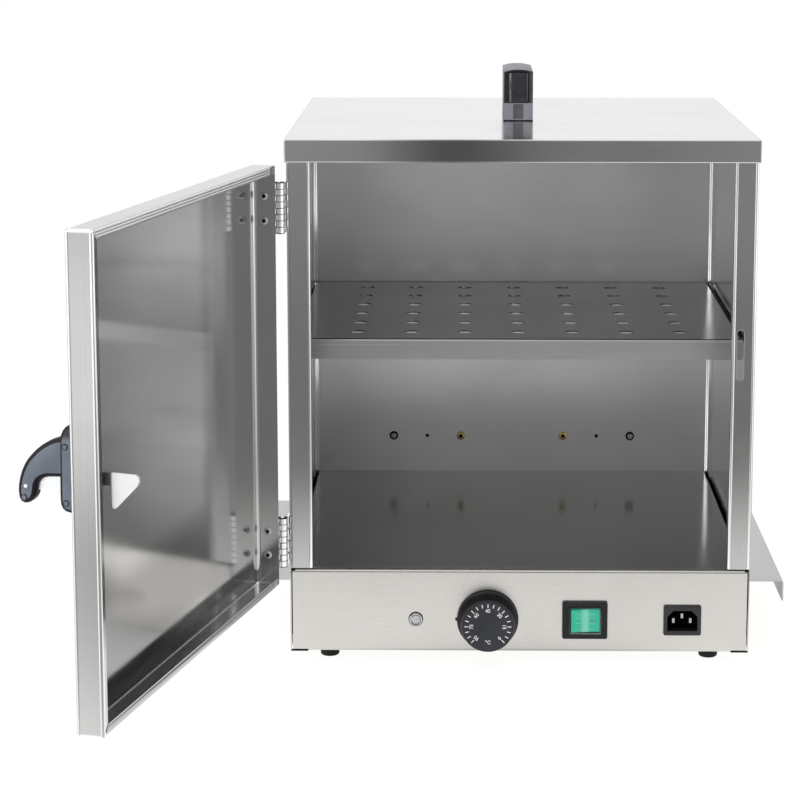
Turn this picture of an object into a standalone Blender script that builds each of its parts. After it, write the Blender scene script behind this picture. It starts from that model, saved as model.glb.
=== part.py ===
import math

import bmesh
import bpy

# Sheet metal and fits, in metres
SHEET = 0.0012
FIT_GAP = 0.0003
BEND_RADIUS = 0.0014

# Casing, measured from the soles of the feet and from the front face
CASING_WIDTH = 0.380
CASING_DEPTH = 0.3785
CASING_HEIGHT = 0.425
FOOT_CLEARANCE = 0.008
BASE_HEIGHT = 0.070
JAMB_WIDTH = 0.019
JAMB_RETURN = 0.010
JAMB_GAP = 0.001
LID_SKIRT = 0.0188
PANEL_INSET = 0.0022
PANEL_FLANGE = 0.0075
REAR_PLENUM = 0.028
LINER_FLANGE = 0.012
BOTTOM_FLANGE = 0.011

# Shelf
SHELF_RISE = 0.1838
SHELF_SETBACK = 0.0535
SHELF_FLANGE = 0.0172
SHELF_SIDE_GAP = 0.0028
HOLE_DIAMETER = 0.013
HOLE_PITCH = 0.0455
HOLE_COLUMNS = 7
HOLE_ROWS = 6
RUNNER_LEG = 0.014

# Door and hinges
DOOR_THICKNESS = 0.020
DOOR_GAP = 0.0026
DOOR_TOP_GAP = 0.0015
DOOR_DROP = 0.0115
DOOR_LIP = 0.007
DOOR_OPEN_DEGREES = 104.0
HINGE_HEIGHT = 0.041
HINGE_FROM_END = 0.035
KNUCKLES = 8
KNUCKLE_RADIUS = 0.0042
PIN_RADIUS = 0.0017
LEAF_WIDTH = 0.0168
LEAF_THICKNESS = 0.0015
LEAF_SCREW_SPACING = 0.020
LEAF_SCREW_RADIUS = 0.002

# Latch: the plate, its slot in the right jamb and the grip on the door
LATCH_INSET = 0.012
LATCH_RISE = 0.1552
SLOT_RISE = 0.0048
SLOT_WIDTH = 0.0055
SLOT_HEIGHT = 0.0416
PLATE_THICKNESS = 0.0025
PLATE_CLEARANCE = 0.00035
GRIP_WIDTH = 0.012
GRIP_UNIT = 0.001
LATCH_PIN_RADIUS = 0.0013

# Top handle, side grips and feet
HANDLE_LENGTH = 0.078
HANDLE_WIDTH = 0.025
HANDLE_HEIGHT = 0.044
HANDLE_SHIFT = 0.001
SIDE_GRIP_LENGTH = 0.266
SIDE_GRIP_REACH = 0.035
SIDE_GRIP_DROP = 0.018
SIDE_GRIP_LEVEL = 0.0535
FOOT_RADIUS = 0.008
FOOT_INSET = 0.017
FOOT_SIDE_INSET = 0.032

# Controls, all on one level of the front panel
CONTROL_RISE = 0.0276
LAMP_X = -0.0858
DIAL_X = -0.0263
SWITCH_X = 0.0541
INLET_X = 0.1347
LAMP_RADIUS = 0.0061
KNOB_RADIUS = 0.025
KNOB_LENGTH = 0.019
SHAFT_RADIUS = 0.003
SWITCH_WIDTH = 0.0373
SWITCH_HEIGHT = 0.0315
ROCKER_WIDTH = 0.0238
ROCKER_HEIGHT = 0.0190
ROCKER_TILT_DEGREES = 6.0
INLET_WIDTH = 0.031
INLET_HEIGHT = 0.0254

# Heaters behind the rear liner
HEATER_RISE = 0.035
HEATER_SCREW_INNER = 0.049
HEATER_SCREW_OUTER = 0.1135
HEATER_THICKNESS = 0.014
HEATER_HEIGHT = 0.044

# Places that follow from the values above
HALF = CASING_WIDTH / 2
TOP = FOOT_CLEARANCE + CASING_HEIGHT
BASE_TOP = FOOT_CLEARANCE + BASE_HEIGHT
LID_TOP = TOP + FIT_GAP + SHEET
LID_BOTTOM = LID_TOP - LID_SKIRT
REAR = CASING_DEPTH + FIT_GAP + SHEET
LID_BACK = REAR + FIT_GAP + SHEET
LINER_FRONT = CASING_DEPTH - REAR_PLENUM
FLOOR_TOP = BASE_TOP - SHEET - FIT_GAP
SHELF_TOP = BASE_TOP + SHELF_RISE
CONTROL_Z = FOOT_CLEARANCE + CONTROL_RISE
LID_MIDDLE = (LID_BACK - SHEET - FIT_GAP) / 2
LIP_PLANE = -DOOR_GAP / 2
SKIN_PLANE = LIP_PLANE - DOOR_THICKNESS
HINGE_OFFSET = KNUCKLE_RADIUS + 4 * FIT_GAP
DOOR_TOP = LID_BOTTOM - DOOR_TOP_GAP
DOOR_BOTTOM = BASE_TOP - DOOR_DROP
HINGE_U = HINGE_OFFSET
FREE_U = HINGE_OFFSET + CASING_WIDTH
LATCH_U = FREE_U - LATCH_INSET
LATCH_Z = BASE_TOP + LATCH_RISE
GRIP_REACH = 41.6 * GRIP_UNIT
PIVOT_REACH = 35.5 * GRIP_UNIT
PIVOT_RISE = 3.7 * GRIP_UNIT
HANDLE_MIDDLE = LID_MIDDLE + HANDLE_SHIFT

for thing in list(bpy.data.objects):
    bpy.data.objects.remove(thing)


def empty(name, place, parent):
    frame = bpy.data.objects.new(name, None)
    frame.location = place
    frame.parent = parent
    bpy.context.scene.collection.objects.link(frame)
    return frame


def keep(name, bm, parent):
    bmesh.ops.recalc_face_normals(bm, faces=bm.faces)
    mesh = bpy.data.meshes.new(name)
    bm.to_mesh(mesh)
    bm.free()
    thing = bpy.data.objects.new(name, mesh)
    thing.parent = parent
    bpy.context.scene.collection.objects.link(thing)
    return thing


def turned(axis, a, b, h):
    if axis == "X":
        return (h, a, b)
    if axis == "Y":
        return (a, h, b)
    return (a, b, h)


def add_prism(bm, outline, low, high, axis):
    start = [bm.verts.new(turned(axis, a, b, low)) for a, b in outline]
    end = [bm.verts.new(turned(axis, a, b, high)) for a, b in outline]
    bm.faces.new(start)
    bm.faces.new(list(reversed(end)))
    for i in range(len(outline)):
        j = (i + 1) % len(outline)
        bm.faces.new((start[i], end[i], end[j], start[j]))


def prism(name, outline, low, high, axis, parent):
    bm = bmesh.new()
    add_prism(bm, outline, low, high, axis)
    return keep(name, bm, parent)


def prisms(name, outlines, low, high, axis, parent):
    bm = bmesh.new()
    for outline in outlines:
        add_prism(bm, outline, low, high, axis)
    return keep(name, bm, parent)


def box(name, x, y, z, parent):
    return prism(name, rectangle(x[0], x[1], y[0], y[1]), z[0], z[1], "Z", parent)


def lathe(name, profile, centre, axis, sides, parent):
    bm = bmesh.new()
    rings = []
    for radius, along in profile:
        ring = []
        for i in range(sides):
            angle = 2 * math.pi * (i + 0.5) / sides
            a = centre[0] + radius * math.cos(angle)
            b = centre[1] + radius * math.sin(angle)
            ring.append(bm.verts.new(turned(axis, a, b, along)))
        rings.append(ring)
    for first, second in zip(rings, rings[1:]):
        for i in range(sides):
            j = (i + 1) % sides
            bm.faces.new((first[i], first[j], second[j], second[i]))
    bm.faces.new(rings[0])
    bm.faces.new(list(reversed(rings[-1])))
    return keep(name, bm, parent)


def loft(name, sections, axis, parent):
    bm = bmesh.new()
    rings = [[bm.verts.new(turned(axis, a, b, h)) for a, b in outline] for h, outline in sections]
    for first, second in zip(rings, rings[1:]):
        for i in range(len(first)):
            j = (i + 1) % len(first)
            bm.faces.new((first[i], second[i], second[j], first[j]))
    bm.faces.new(rings[0])
    bm.faces.new(list(reversed(rings[-1])))
    return keep(name, bm, parent)


def rectangle(a0, a1, b0, b1):
    return [(a0, b0), (a1, b0), (a1, b1), (a0, b1)]


def disc(a, b, radius, sides):
    steps = [2 * math.pi * (i + 0.5) / sides for i in range(sides)]
    return [(a + radius * math.cos(s), b + radius * math.sin(s)) for s in steps]


def rounded(points, radius, steps):
    outline = []
    count = len(points)
    for i in range(count):
        before = points[i - 1]
        here = points[i]
        after = points[(i + 1) % count]
        outline += corner(before, here, after, radius, steps)
    return outline


def corner(before, here, after, radius, steps):
    ua, ub = direction(here, before)
    va, vb = direction(here, after)
    opening = math.acos(max(-1.0, min(1.0, ua * va + ub * vb)))
    reach = radius / math.tan(opening / 2)
    start = (here[0] + ua * reach, here[1] + ub * reach)
    stop = (here[0] + va * reach, here[1] + vb * reach)
    ma, mb = ua + va, ub + vb
    size = math.hypot(ma, mb)
    hub = radius / math.sin(opening / 2)
    centre = (here[0] + ma / size * hub, here[1] + mb / size * hub)
    first = math.atan2(start[1] - centre[1], start[0] - centre[0])
    last = math.atan2(stop[1] - centre[1], stop[0] - centre[0])
    sweep = (last - first + math.pi) % (2 * math.pi) - math.pi
    angles = [first + sweep * i / steps for i in range(steps + 1)]
    return [(centre[0] + radius * math.cos(t), centre[1] + radius * math.sin(t)) for t in angles]


def direction(start, stop):
    a, b = stop[0] - start[0], stop[1] - start[1]
    size = math.hypot(a, b)
    return a / size, b / size


# The outline of a folded sheet along a path of straight runs, the path on its middle line
def folded(path, radius):
    middle = radius + SHEET / 2
    line = [path[0]]
    for before, here, after in zip(path, path[1:], path[2:]):
        line += corner(before, here, after, middle, 4)
    line.append(path[-1])
    left, right = [], []
    for i, here in enumerate(line):
        before = line[max(i - 1, 0)]
        after = line[min(i + 1, len(line) - 1)]
        da, db = direction(before, here) if i else direction(here, after)
        ea, eb = direction(here, after) if i < len(line) - 1 else (da, db)
        na, nb = -(db + eb), da + ea
        size = math.hypot(na, nb)
        stretch = SHEET / 2 / (size / 2)
        left.append((here[0] + na / size * stretch, here[1] + nb / size * stretch))
        right.append((here[0] - na / size * stretch, here[1] - nb / size * stretch))
    return left + list(reversed(right))


def combine(target, tool, operation):
    step = target.modifiers.new(operation.lower() + "_" + tool.name, "BOOLEAN")
    step.operation = operation
    step.solver = "EXACT"
    step.object = tool
    tool.hide_render = True
    tool.display_type = "WIRE"


def cut(target, tool):
    combine(target, tool, "DIFFERENCE")


def join(target, tool):
    combine(target, tool, "UNION")


def soften(target, width, segments):
    step = target.modifiers.new("soften", "BEVEL")
    step.width = width
    step.segments = segments
    step.limit_method = "ANGLE"
    step.angle_limit = math.radians(40)


def paint(thing, colour, metallic, roughness):
    skin = bpy.data.materials.new(thing.name + "_skin")
    skin.use_nodes = True
    shader = skin.node_tree.nodes["Principled BSDF"]
    shader.inputs["Base Color"].default_value = (*colour, 1.0)
    shader.inputs["Metallic"].default_value = metallic
    shader.inputs["Roughness"].default_value = roughness
    thing.data.materials.append(skin)


def steel(thing):
    paint(thing, (0.62, 0.62, 0.61), 1.0, 0.3)


def bright(thing):
    paint(thing, (0.75, 0.75, 0.74), 1.0, 0.2)


def brass(thing):
    paint(thing, (0.62, 0.47, 0.22), 1.0, 0.3)


def black(thing):
    paint(thing, (0.02, 0.02, 0.022), 0.0, 0.45)


# The frame of the whole object, with the floor point under its box's middle as origin
theta = math.radians(DOOR_OPEN_DEGREES)
grip_edge = LATCH_U + GRIP_WIDTH / 2
tip_x = grip_edge * math.cos(theta) + (SKIN_PLANE - GRIP_REACH) * math.sin(theta)
edge_y = -FREE_U * math.sin(theta) + LIP_PLANE * math.cos(theta)
low_x = -HALF - HINGE_OFFSET + tip_x
high_x = HALF + FIT_GAP + SIDE_GRIP_REACH
low_y = LIP_PLANE + edge_y
middle = (-(low_x + high_x) / 2, -(low_y + LID_BACK) / 2, 0.0)
assembly = empty("assembly", middle, None)
door_frame = empty("door_axis", (-HALF - HINGE_OFFSET, LIP_PLANE, 0.0), assembly)
door_frame.rotation_euler = (0.0, 0.0, -theta)
pivot_n = SKIN_PLANE - PIVOT_REACH
pivot_z = LATCH_Z + PIVOT_RISE
latch_frame = empty("latch_axis", (LATCH_U, pivot_n, pivot_z), door_frame)
dial_frame = empty("dial_axis", (DIAL_X, 0.0, CONTROL_Z), assembly)
rocker_frame = empty("rocker_axis", (SWITCH_X, 0.001, CONTROL_Z), assembly)
rocker_frame.rotation_euler = (0.0, 0.0, math.radians(ROCKER_TILT_DEGREES))
shelf_frame = empty("shelf_seat", (0.0, 0.0, SHELF_TOP), assembly)

# Casing: two folded sides with jambs, joined by the top sheet
inner = SHEET / 2
jamb = [
    (-HALF + inner, CASING_DEPTH),
    (-HALF + inner, inner),
    (-HALF + JAMB_WIDTH - inner, inner),
    (-HALF + JAMB_WIDTH - inner, JAMB_RETURN),
]
side_low, side_high = FOOT_CLEARANCE, TOP - inner
casing = prism("casing", folded(jamb, BEND_RADIUS), side_low, side_high, "Z", assembly)
other_side = [(-x, y) for x, y in jamb]
right_side = prism("casing_right", folded(other_side, BEND_RADIUS), side_low, side_high, "Z", assembly)
top_sheet = box(
    "casing_top",
    (-HALF + inner, HALF - inner),
    (inner, CASING_DEPTH - inner),
    (TOP - SHEET, TOP),
    assembly,
)
head = box(
    "casing_head",
    (-HALF + JAMB_WIDTH / 2, HALF - JAMB_WIDTH / 2),
    (0.1 * SHEET, 0.9 * SHEET),
    (LID_BOTTOM + 0.002, TOP - inner),
    assembly,
)
jamb_end = BASE_TOP + JAMB_GAP
jamb_cuts = prisms(
    "casing_foot_cut",
    [
        rectangle(-HALF + SHEET, -HALF + JAMB_WIDTH + 0.01, -0.01, JAMB_RETURN + 0.005),
        rectangle(HALF - JAMB_WIDTH - 0.01, HALF - SHEET, -0.01, JAMB_RETURN + 0.005),
    ],
    -0.01,
    jamb_end,
    "Z",
    assembly,
)
slot_x = HALF - LATCH_INSET
slot_low = LATCH_Z + SLOT_RISE
slot_high = slot_low + SLOT_HEIGHT
slot_points = rectangle(slot_x - SLOT_WIDTH / 2, slot_x + SLOT_WIDTH / 2, slot_low, slot_high)
slot_cut = prism("casing_slot_cut", rounded(slot_points, SLOT_WIDTH * 0.48, 5), -0.004, 0.004, "Y", assembly)
handle_screw_y = [HANDLE_MIDDLE - HANDLE_LENGTH / 2 + 0.009, HANDLE_MIDDLE + HANDLE_LENGTH / 2 - 0.009]
top_holes = prisms(
    "top_hole_cut", [disc(0.0, y, 0.0026, 16) for y in handle_screw_y], TOP - 0.02, LID_TOP + 0.002, "Z", assembly
)
hinge_z = [DOOR_BOTTOM + HINGE_FROM_END, DOOR_TOP - HINGE_FROM_END]
screw_z = [z + s * LEAF_SCREW_SPACING / 2 for z in hinge_z for s in (-1, 1)]
leaf_screw_y = 0.62 * LEAF_WIDTH
hole_radius = LEAF_SCREW_RADIUS + FIT_GAP
frame_holes = prisms(
    "frame_hole_cut",
    [disc(LIP_PLANE + leaf_screw_y, z, hole_radius, 16) for z in screw_z],
    -HALF - 0.006,
    -HALF + 0.006,
    "X",
    assembly,
)
for piece in (right_side, top_sheet, head):
    join(casing, piece)
for piece in (jamb_cuts, slot_cut, top_holes, frame_holes):
    cut(casing, piece)
steel(casing)

# Lid cap over the casing and the rear cover
lid = box(
    "lid_cover",
    (-HALF - FIT_GAP - SHEET, HALF + FIT_GAP + SHEET),
    (-FIT_GAP - SHEET, LID_BACK),
    (LID_BOTTOM, LID_TOP),
    assembly,
)
soften(lid, 0.001, 2)
lid_room = box(
    "lid_room_cut",
    (-HALF - FIT_GAP, HALF + FIT_GAP),
    (-FIT_GAP, LID_BACK - SHEET),
    (LID_BOTTOM - 0.01, LID_TOP - SHEET),
    assembly,
)
cut(lid, lid_room)
cut(lid, top_holes)
steel(lid)
rear = box("rear_cover", (-HALF, HALF), (CASING_DEPTH + FIT_GAP, REAR), (FOOT_CLEARANCE, TOP), assembly)
steel(rear)

# Control panel with folded top and bottom edges
panel_path = [
    (PANEL_FLANGE, BASE_TOP - inner),
    (inner, BASE_TOP - inner),
    (inner, FOOT_CLEARANCE + inner),
    (PANEL_FLANGE, FOOT_CLEARANCE + inner),
]
panel_half = HALF - PANEL_INSET
panel = prism("control_panel", folded(panel_path, BEND_RADIUS), -panel_half, panel_half, "X", assembly)
switch_body = (SWITCH_WIDTH - 0.0077, SWITCH_HEIGHT - 0.0077)
inlet_body = (INLET_WIDTH - 0.0034, INLET_HEIGHT - 0.0056)


def window(x, width, height):
    return rectangle(x - width / 2, x + width / 2, CONTROL_Z - height / 2, CONTROL_Z + height / 2)


panel_cuts = prisms(
    "panel_cut",
    [
        disc(LAMP_X, CONTROL_Z, LAMP_RADIUS - 0.001 + FIT_GAP, 20),
        disc(DIAL_X, CONTROL_Z, 0.0048 + FIT_GAP, 20),
        window(SWITCH_X, switch_body[0] + 2 * FIT_GAP, switch_body[1] + 2 * FIT_GAP),
        window(INLET_X, inlet_body[0] + 2 * FIT_GAP, inlet_body[1] + 2 * FIT_GAP),
    ],
    -0.003,
    0.003,
    "Y",
    assembly,
)
cut(panel, panel_cuts)
steel(panel)

# Bottom plate, chamber floor and rear liner
plate_z = FOOT_CLEARANCE + SHEET + FIT_GAP + inner
plate_x = HALF - SHEET - FIT_GAP - inner
plate_top = plate_z + BOTTOM_FLANGE
plate_path = [(-plate_x, plate_top), (-plate_x, plate_z), (plate_x, plate_z), (plate_x, plate_top)]
bottom = prism(
    "bottom_plate",
    folded(plate_path, BEND_RADIUS),
    SHEET + BEND_RADIUS + FIT_GAP,
    CASING_DEPTH - FIT_GAP,
    "Y",
    assembly,
)
steel(bottom)
floor_x = HALF - SHEET - 0.002 - inner
floor_path = [
    (-floor_x, FLOOR_TOP - 0.009),
    (-floor_x, FLOOR_TOP - inner),
    (floor_x, FLOOR_TOP - inner),
    (floor_x, FLOOR_TOP - 0.009),
]
floor = prism(
    "chamber_floor",
    folded(floor_path, BEND_RADIUS),
    SHEET + BEND_RADIUS + FIT_GAP,
    LINER_FRONT - FIT_GAP,
    "Y",
    assembly,
)
steel(floor)
liner_x = HALF - SHEET - FIT_GAP - inner
liner_path = [
    (-liner_x, LINER_FRONT + LINER_FLANGE),
    (-liner_x, LINER_FRONT + inner),
    (liner_x, LINER_FRONT + inner),
    (liner_x, LINER_FRONT + LINER_FLANGE),
]
liner = prism(
    "rear_liner", folded(liner_path, BEND_RADIUS), FLOOR_TOP - 0.012, TOP - SHEET - FIT_GAP, "Z", assembly
)
heater_z = FLOOR_TOP + HEATER_RISE
heater_x = [-HEATER_SCREW_OUTER, -HEATER_SCREW_INNER, HEATER_SCREW_INNER, HEATER_SCREW_OUTER]
sensor_x = (HEATER_SCREW_INNER + HEATER_SCREW_OUTER) / 2
heater_holes = prisms(
    "heater_hole_cut",
    [disc(x, heater_z, 0.002 + FIT_GAP, 14) for x in heater_x],
    LINER_FRONT - 0.005,
    LINER_FRONT + 0.012,
    "Y",
    assembly,
)
sensor_holes = prisms(
    "sensor_hole_cut",
    [disc(x, heater_z, 0.0018, 14) for x in (-sensor_x, sensor_x)],
    LINER_FRONT - 0.005,
    LINER_FRONT + 0.005,
    "Y",
    assembly,
)
cut(liner, heater_holes)
cut(liner, sensor_holes)
steel(liner)

# Heaters and their screws
heater_y = LINER_FRONT + SHEET + FIT_GAP
for name, side in (("left", -1), ("right", 1)):
    ends = sorted((side * (HEATER_SCREW_INNER - 0.01), side * (HEATER_SCREW_OUTER + 0.01)))
    heater = box(
        "heater_" + name,
        ends,
        (heater_y, heater_y + HEATER_THICKNESS),
        (heater_z - HEATER_HEIGHT / 2, heater_z + HEATER_HEIGHT / 2),
        assembly,
    )
    soften(heater, 0.0012, 1)
    cut(heater, heater_holes)
    paint(heater, (0.55, 0.55, 0.55), 1.0, 0.4)
screw_places = ("left_outer", "left_inner", "right_inner", "right_outer")
for name, x in zip(screw_places, heater_x):
    head_front = LINER_FRONT - FIT_GAP - 0.0026
    screw = lathe(
        "heater_screw_" + name,
        [
            (0.0022, head_front),
            (0.0036, head_front + 0.0008),
            (0.0042, head_front + 0.002),
            (0.0042, head_front + 0.0026),
            (0.002, head_front + 0.0026),
            (0.002, LINER_FRONT + 0.0105),
        ],
        (x, heater_z),
        "Y",
        16,
        assembly,
    )
    if "inner" in name:
        brass(screw)
    else:
        steel(screw)

# Perforated shelf on two runners
shelf_x = HALF - SHEET - SHELF_SIDE_GAP
shelf_back = LINER_FRONT - 0.002
shelf_path = [
    (SHELF_SETBACK + inner, -SHELF_FLANGE),
    (SHELF_SETBACK + inner, -inner),
    (shelf_back - inner, -inner),
    (shelf_back - inner, -SHELF_FLANGE),
]
shelf = prism("shelf", folded(shelf_path, BEND_RADIUS), -shelf_x, shelf_x, "X", shelf_frame)
shelf_middle = (SHELF_SETBACK + shelf_back) / 2
holes = []
for column in range(HOLE_COLUMNS):
    for line in range(HOLE_ROWS):
        across = (column - (HOLE_COLUMNS - 1) / 2) * HOLE_PITCH
        along = shelf_middle + (line - (HOLE_ROWS - 1) / 2) * HOLE_PITCH
        holes.append(disc(across, along, HOLE_DIAMETER / 2, 14))
shelf_holes = prisms("shelf_hole_cut", holes, -0.006, 0.006, "Z", shelf_frame)
cut(shelf, shelf_holes)
steel(shelf)
for name, side in (("left", -1), ("right", 1)):
    wall = side * (HALF - SHEET - FIT_GAP - inner)
    seat = SHELF_TOP - SHEET - FIT_GAP - inner
    path = [(wall, seat - RUNNER_LEG), (wall, seat), (wall - side * RUNNER_LEG, seat)]
    runner = prism(
        "shelf_runner_" + name,
        folded(path, BEND_RADIUS),
        SHELF_SETBACK + SHEET + 0.004,
        shelf_back - SHEET - 0.004,
        "Y",
        assembly,
    )
    steel(runner)

# Bow handle on the lid, with recessed ends, and its two screws
handle_low = LID_TOP + FIT_GAP
start_y, stop_y = HANDLE_MIDDLE - HANDLE_LENGTH / 2, HANDLE_MIDDLE + HANDLE_LENGTH / 2
bow_top = handle_low + HANDLE_HEIGHT
crown = 0.0018
bow = rounded(
    [
        (start_y, handle_low),
        (start_y + 0.002, bow_top),
        (stop_y - 0.002, bow_top),
        (stop_y, handle_low),
        (stop_y - 0.017, handle_low),
        (stop_y - 0.0165, bow_top - 0.0135),
        (start_y + 0.0165, bow_top - 0.0135),
        (start_y + 0.017, handle_low),
    ],
    0.0022,
    3,
)
sections = []
for step in range(-3, 4):
    sink = crown * (step / 3) ** 2
    section = [(y, z - sink if z > bow_top - 0.004 else z) for y, z in bow]
    sections.append((HANDLE_WIDTH / 2 * step / 3, section))
handle = loft("top_handle", sections, "X", assembly)
soften(handle, 0.0014, 2)
recess_low, recess_high = handle_low + 0.0165, bow_top - 0.0075
recess_half = HANDLE_WIDTH / 2 - 0.0045
recess = prisms(
    "top_handle_recess_cut",
    [
        rectangle(start_y - 0.01, start_y + 0.0055, recess_low, recess_high),
        rectangle(stop_y - 0.0055, stop_y + 0.01, recess_low, recess_high),
    ],
    -recess_half,
    recess_half,
    "X",
    assembly,
)
cut(handle, recess)
handle_holes = prisms(
    "top_handle_hole_cut",
    [disc(0.0, y, 0.002 + FIT_GAP, 16) for y in handle_screw_y],
    handle_low - 0.01,
    handle_low + 0.0115,
    "Z",
    assembly,
)
cut(handle, handle_holes)
black(handle)
for name, y in zip(("front", "rear"), handle_screw_y):
    seat = TOP - SHEET - FIT_GAP
    screw = lathe(
        "top_handle_screw_" + name,
        [(0.003, seat - 0.0024), (0.0038, seat - 0.0016), (0.0038, seat), (0.002, seat), (0.002, handle_low + 0.011)],
        (0.0, y),
        "Z",
        16,
        assembly,
    )
    bright(screw)

# Side grips: ledges folded down at both edges
for name, side in (("left", -1), ("right", 1)):
    near = side * (HALF + FIT_GAP + inner)
    far = side * (HALF + FIT_GAP + SIDE_GRIP_REACH - inner)
    level = SIDE_GRIP_LEVEL - inner
    low = SIDE_GRIP_LEVEL - SIDE_GRIP_DROP
    path = [(near, low), (near, level), (far, level), (far, low)]
    grip_from = LID_MIDDLE - SIDE_GRIP_LENGTH / 2
    grip = prism(
        "side_grip_" + name,
        folded(path, BEND_RADIUS),
        grip_from,
        grip_from + SIDE_GRIP_LENGTH,
        "Y",
        assembly,
    )
    steel(grip)

# Feet under the bottom plate
foot_top = FOOT_CLEARANCE + SHEET
for name, y in (("front", FOOT_INSET), ("rear", CASING_DEPTH - FOOT_INSET)):
    for hand, side in (("left", -1), ("right", 1)):
        foot = lathe(
            "foot_" + name + "_" + hand,
            [
                (FOOT_RADIUS - 0.0022, 0.0),
                (FOOT_RADIUS - 0.0008, 0.0012),
                (FOOT_RADIUS, 0.0032),
                (FOOT_RADIUS, foot_top),
            ],
            (side * (HALF - FOOT_SIDE_INSET), y),
            "Z",
            24,
            assembly,
        )
        paint(foot, (0.015, 0.015, 0.015), 0.0, 0.7)

# Lamp, dial, rocker switch and power inlet
lamp_bore = LAMP_RADIUS - 0.002
lamp = lathe(
    "indicator_bezel",
    [
        (LAMP_RADIUS - 0.0008, -0.0022),
        (LAMP_RADIUS - 0.0001, -0.0016),
        (LAMP_RADIUS, -FIT_GAP),
        (LAMP_RADIUS - 0.001, -FIT_GAP),
        (LAMP_RADIUS - 0.001, 0.012),
    ],
    (LAMP_X, CONTROL_Z),
    "Y",
    24,
    assembly,
)
lamp_hole = prism("lamp_hole_cut", disc(LAMP_X, CONTROL_Z, lamp_bore, 20), -0.01, 0.02, "Y", assembly)
cut(lamp, lamp_hole)
bright(lamp)
lens_radius = lamp_bore - FIT_GAP
lens = lathe(
    "indicator_lens",
    [
        (lens_radius * 0.45, -0.0034),
        (lens_radius * 0.85, -0.0028),
        (lens_radius, -0.0018),
        (lens_radius, 0.010),
    ],
    (LAMP_X, CONTROL_Z),
    "Y",
    20,
    assembly,
)
paint(lens, (0.85, 0.87, 0.88), 0.0, 0.08)

bezel_front = -FIT_GAP - 0.0015
bezel_outline = disc(DIAL_X, CONTROL_Z, KNOB_RADIUS + 0.0005, 40)
bezel = prism("dial_bezel", bezel_outline, bezel_front, -FIT_GAP, "Y", assembly)
tab_x = DIAL_X - KNOB_RADIUS
tab = box(
    "dial_bezel_tab",
    (tab_x - 0.0018, tab_x + 0.002),
    (bezel_front + 0.0002, -FIT_GAP - 0.0002),
    (CONTROL_Z - 0.001, CONTROL_Z + 0.001),
    assembly,
)
join(bezel, tab)
bezel_hole = prism("bezel_hole_cut", disc(DIAL_X, CONTROL_Z, 0.0048 + FIT_GAP, 20), -0.005, 0.0, "Y", assembly)
cut(bezel, bezel_hole)
black(bezel)
body = box(
    "thermostat_body",
    (DIAL_X - 0.017, DIAL_X + 0.017),
    (SHEET + FIT_GAP, SHEET + FIT_GAP + 0.026),
    (CONTROL_Z - 0.015, CONTROL_Z + 0.015),
    assembly,
)
bushing = lathe("thermostat_bushing", [(0.0048, bezel_front), (0.0048, 0.004)], (DIAL_X, CONTROL_Z), "Y", 20, assembly)
join(body, bushing)
shaft_bore = prism(
    "shaft_bore_cut", disc(DIAL_X, CONTROL_Z, SHAFT_RADIUS + FIT_GAP, 20), -0.01, 0.0175, "Y", assembly
)
cut(body, shaft_bore)
paint(body, (0.75, 0.72, 0.65), 0.0, 0.5)
knob_back = bezel_front - 2 * FIT_GAP
knob_face = knob_back - KNOB_LENGTH
knob = lathe(
    "dial_knob",
    [
        (KNOB_RADIUS, knob_back),
        (KNOB_RADIUS, knob_back - 0.0022),
        (KNOB_RADIUS - 0.0009, knob_back - 0.0042),
        (KNOB_RADIUS - 0.0024, knob_back - 0.0072),
        (KNOB_RADIUS - 0.0036, knob_face + 0.0011),
        (KNOB_RADIUS - 0.0044, knob_face),
    ],
    (0.0, 0.0),
    "Y",
    48,
    dial_frame,
)
shaft_front = knob_face + 0.005
knob_bore = prism(
    "knob_bore_cut", disc(0.0, 0.0, SHAFT_RADIUS + FIT_GAP, 20), shaft_front - FIT_GAP, knob_back + 0.01, "Y", dial_frame
)
cut(knob, knob_bore)
black(knob)
shaft = lathe("thermostat_shaft", [(SHAFT_RADIUS, shaft_front), (SHAFT_RADIUS, 0.017)], (0.0, 0.0), "Y", 20, dial_frame)
bright(shaft)

flange_front = -FIT_GAP - 0.003
frame_points = window(SWITCH_X, SWITCH_WIDTH, SWITCH_HEIGHT)
switch_frame = prism("switch_frame", rounded(frame_points, 0.0015, 3), flange_front, -FIT_GAP, "Y", assembly)
soften(switch_frame, 0.0006, 1)
switch_back = prism("switch_frame_body", window(SWITCH_X, *switch_body), -0.001, 0.017, "Y", assembly)
join(switch_frame, switch_back)
cavity = (ROCKER_WIDTH + 0.0022, ROCKER_HEIGHT + 0.0016)
switch_room = prism("switch_room_cut", window(SWITCH_X, *cavity), -0.01, 0.0105, "Y", assembly)
cut(switch_frame, switch_room)
black(switch_frame)
cover_front = flange_front - FIT_GAP - 0.0052
cover_outline = window(SWITCH_X, cavity[0] + 0.0018, cavity[1] + 0.0018)
cover = prism("switch_cover", cover_outline, cover_front, flange_front - FIT_GAP, "Y", assembly)
soften(cover, 0.0012, 2)
cover_room = prism("cover_room_cut", window(SWITCH_X, *cavity), cover_front + 0.0008, 0.01, "Y", assembly)
cut(cover, cover_room)
paint(cover, (0.9, 0.92, 0.92), 0.0, 0.1)
half_rocker = ROCKER_WIDTH / 2
rocker_outline = [
    (-half_rocker, -0.0050),
    (0.0, -0.0042),
    (half_rocker, -0.0050),
    (half_rocker, 0.0005),
    (0.004, 0.0055),
    (-0.004, 0.0055),
    (-half_rocker, 0.0005),
]
rocker = prism("switch_rocker", rocker_outline, -ROCKER_HEIGHT / 2, ROCKER_HEIGHT / 2, "Z", rocker_frame)
paint(rocker, (0.1, 0.75, 0.45), 0.0, 0.3)

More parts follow.
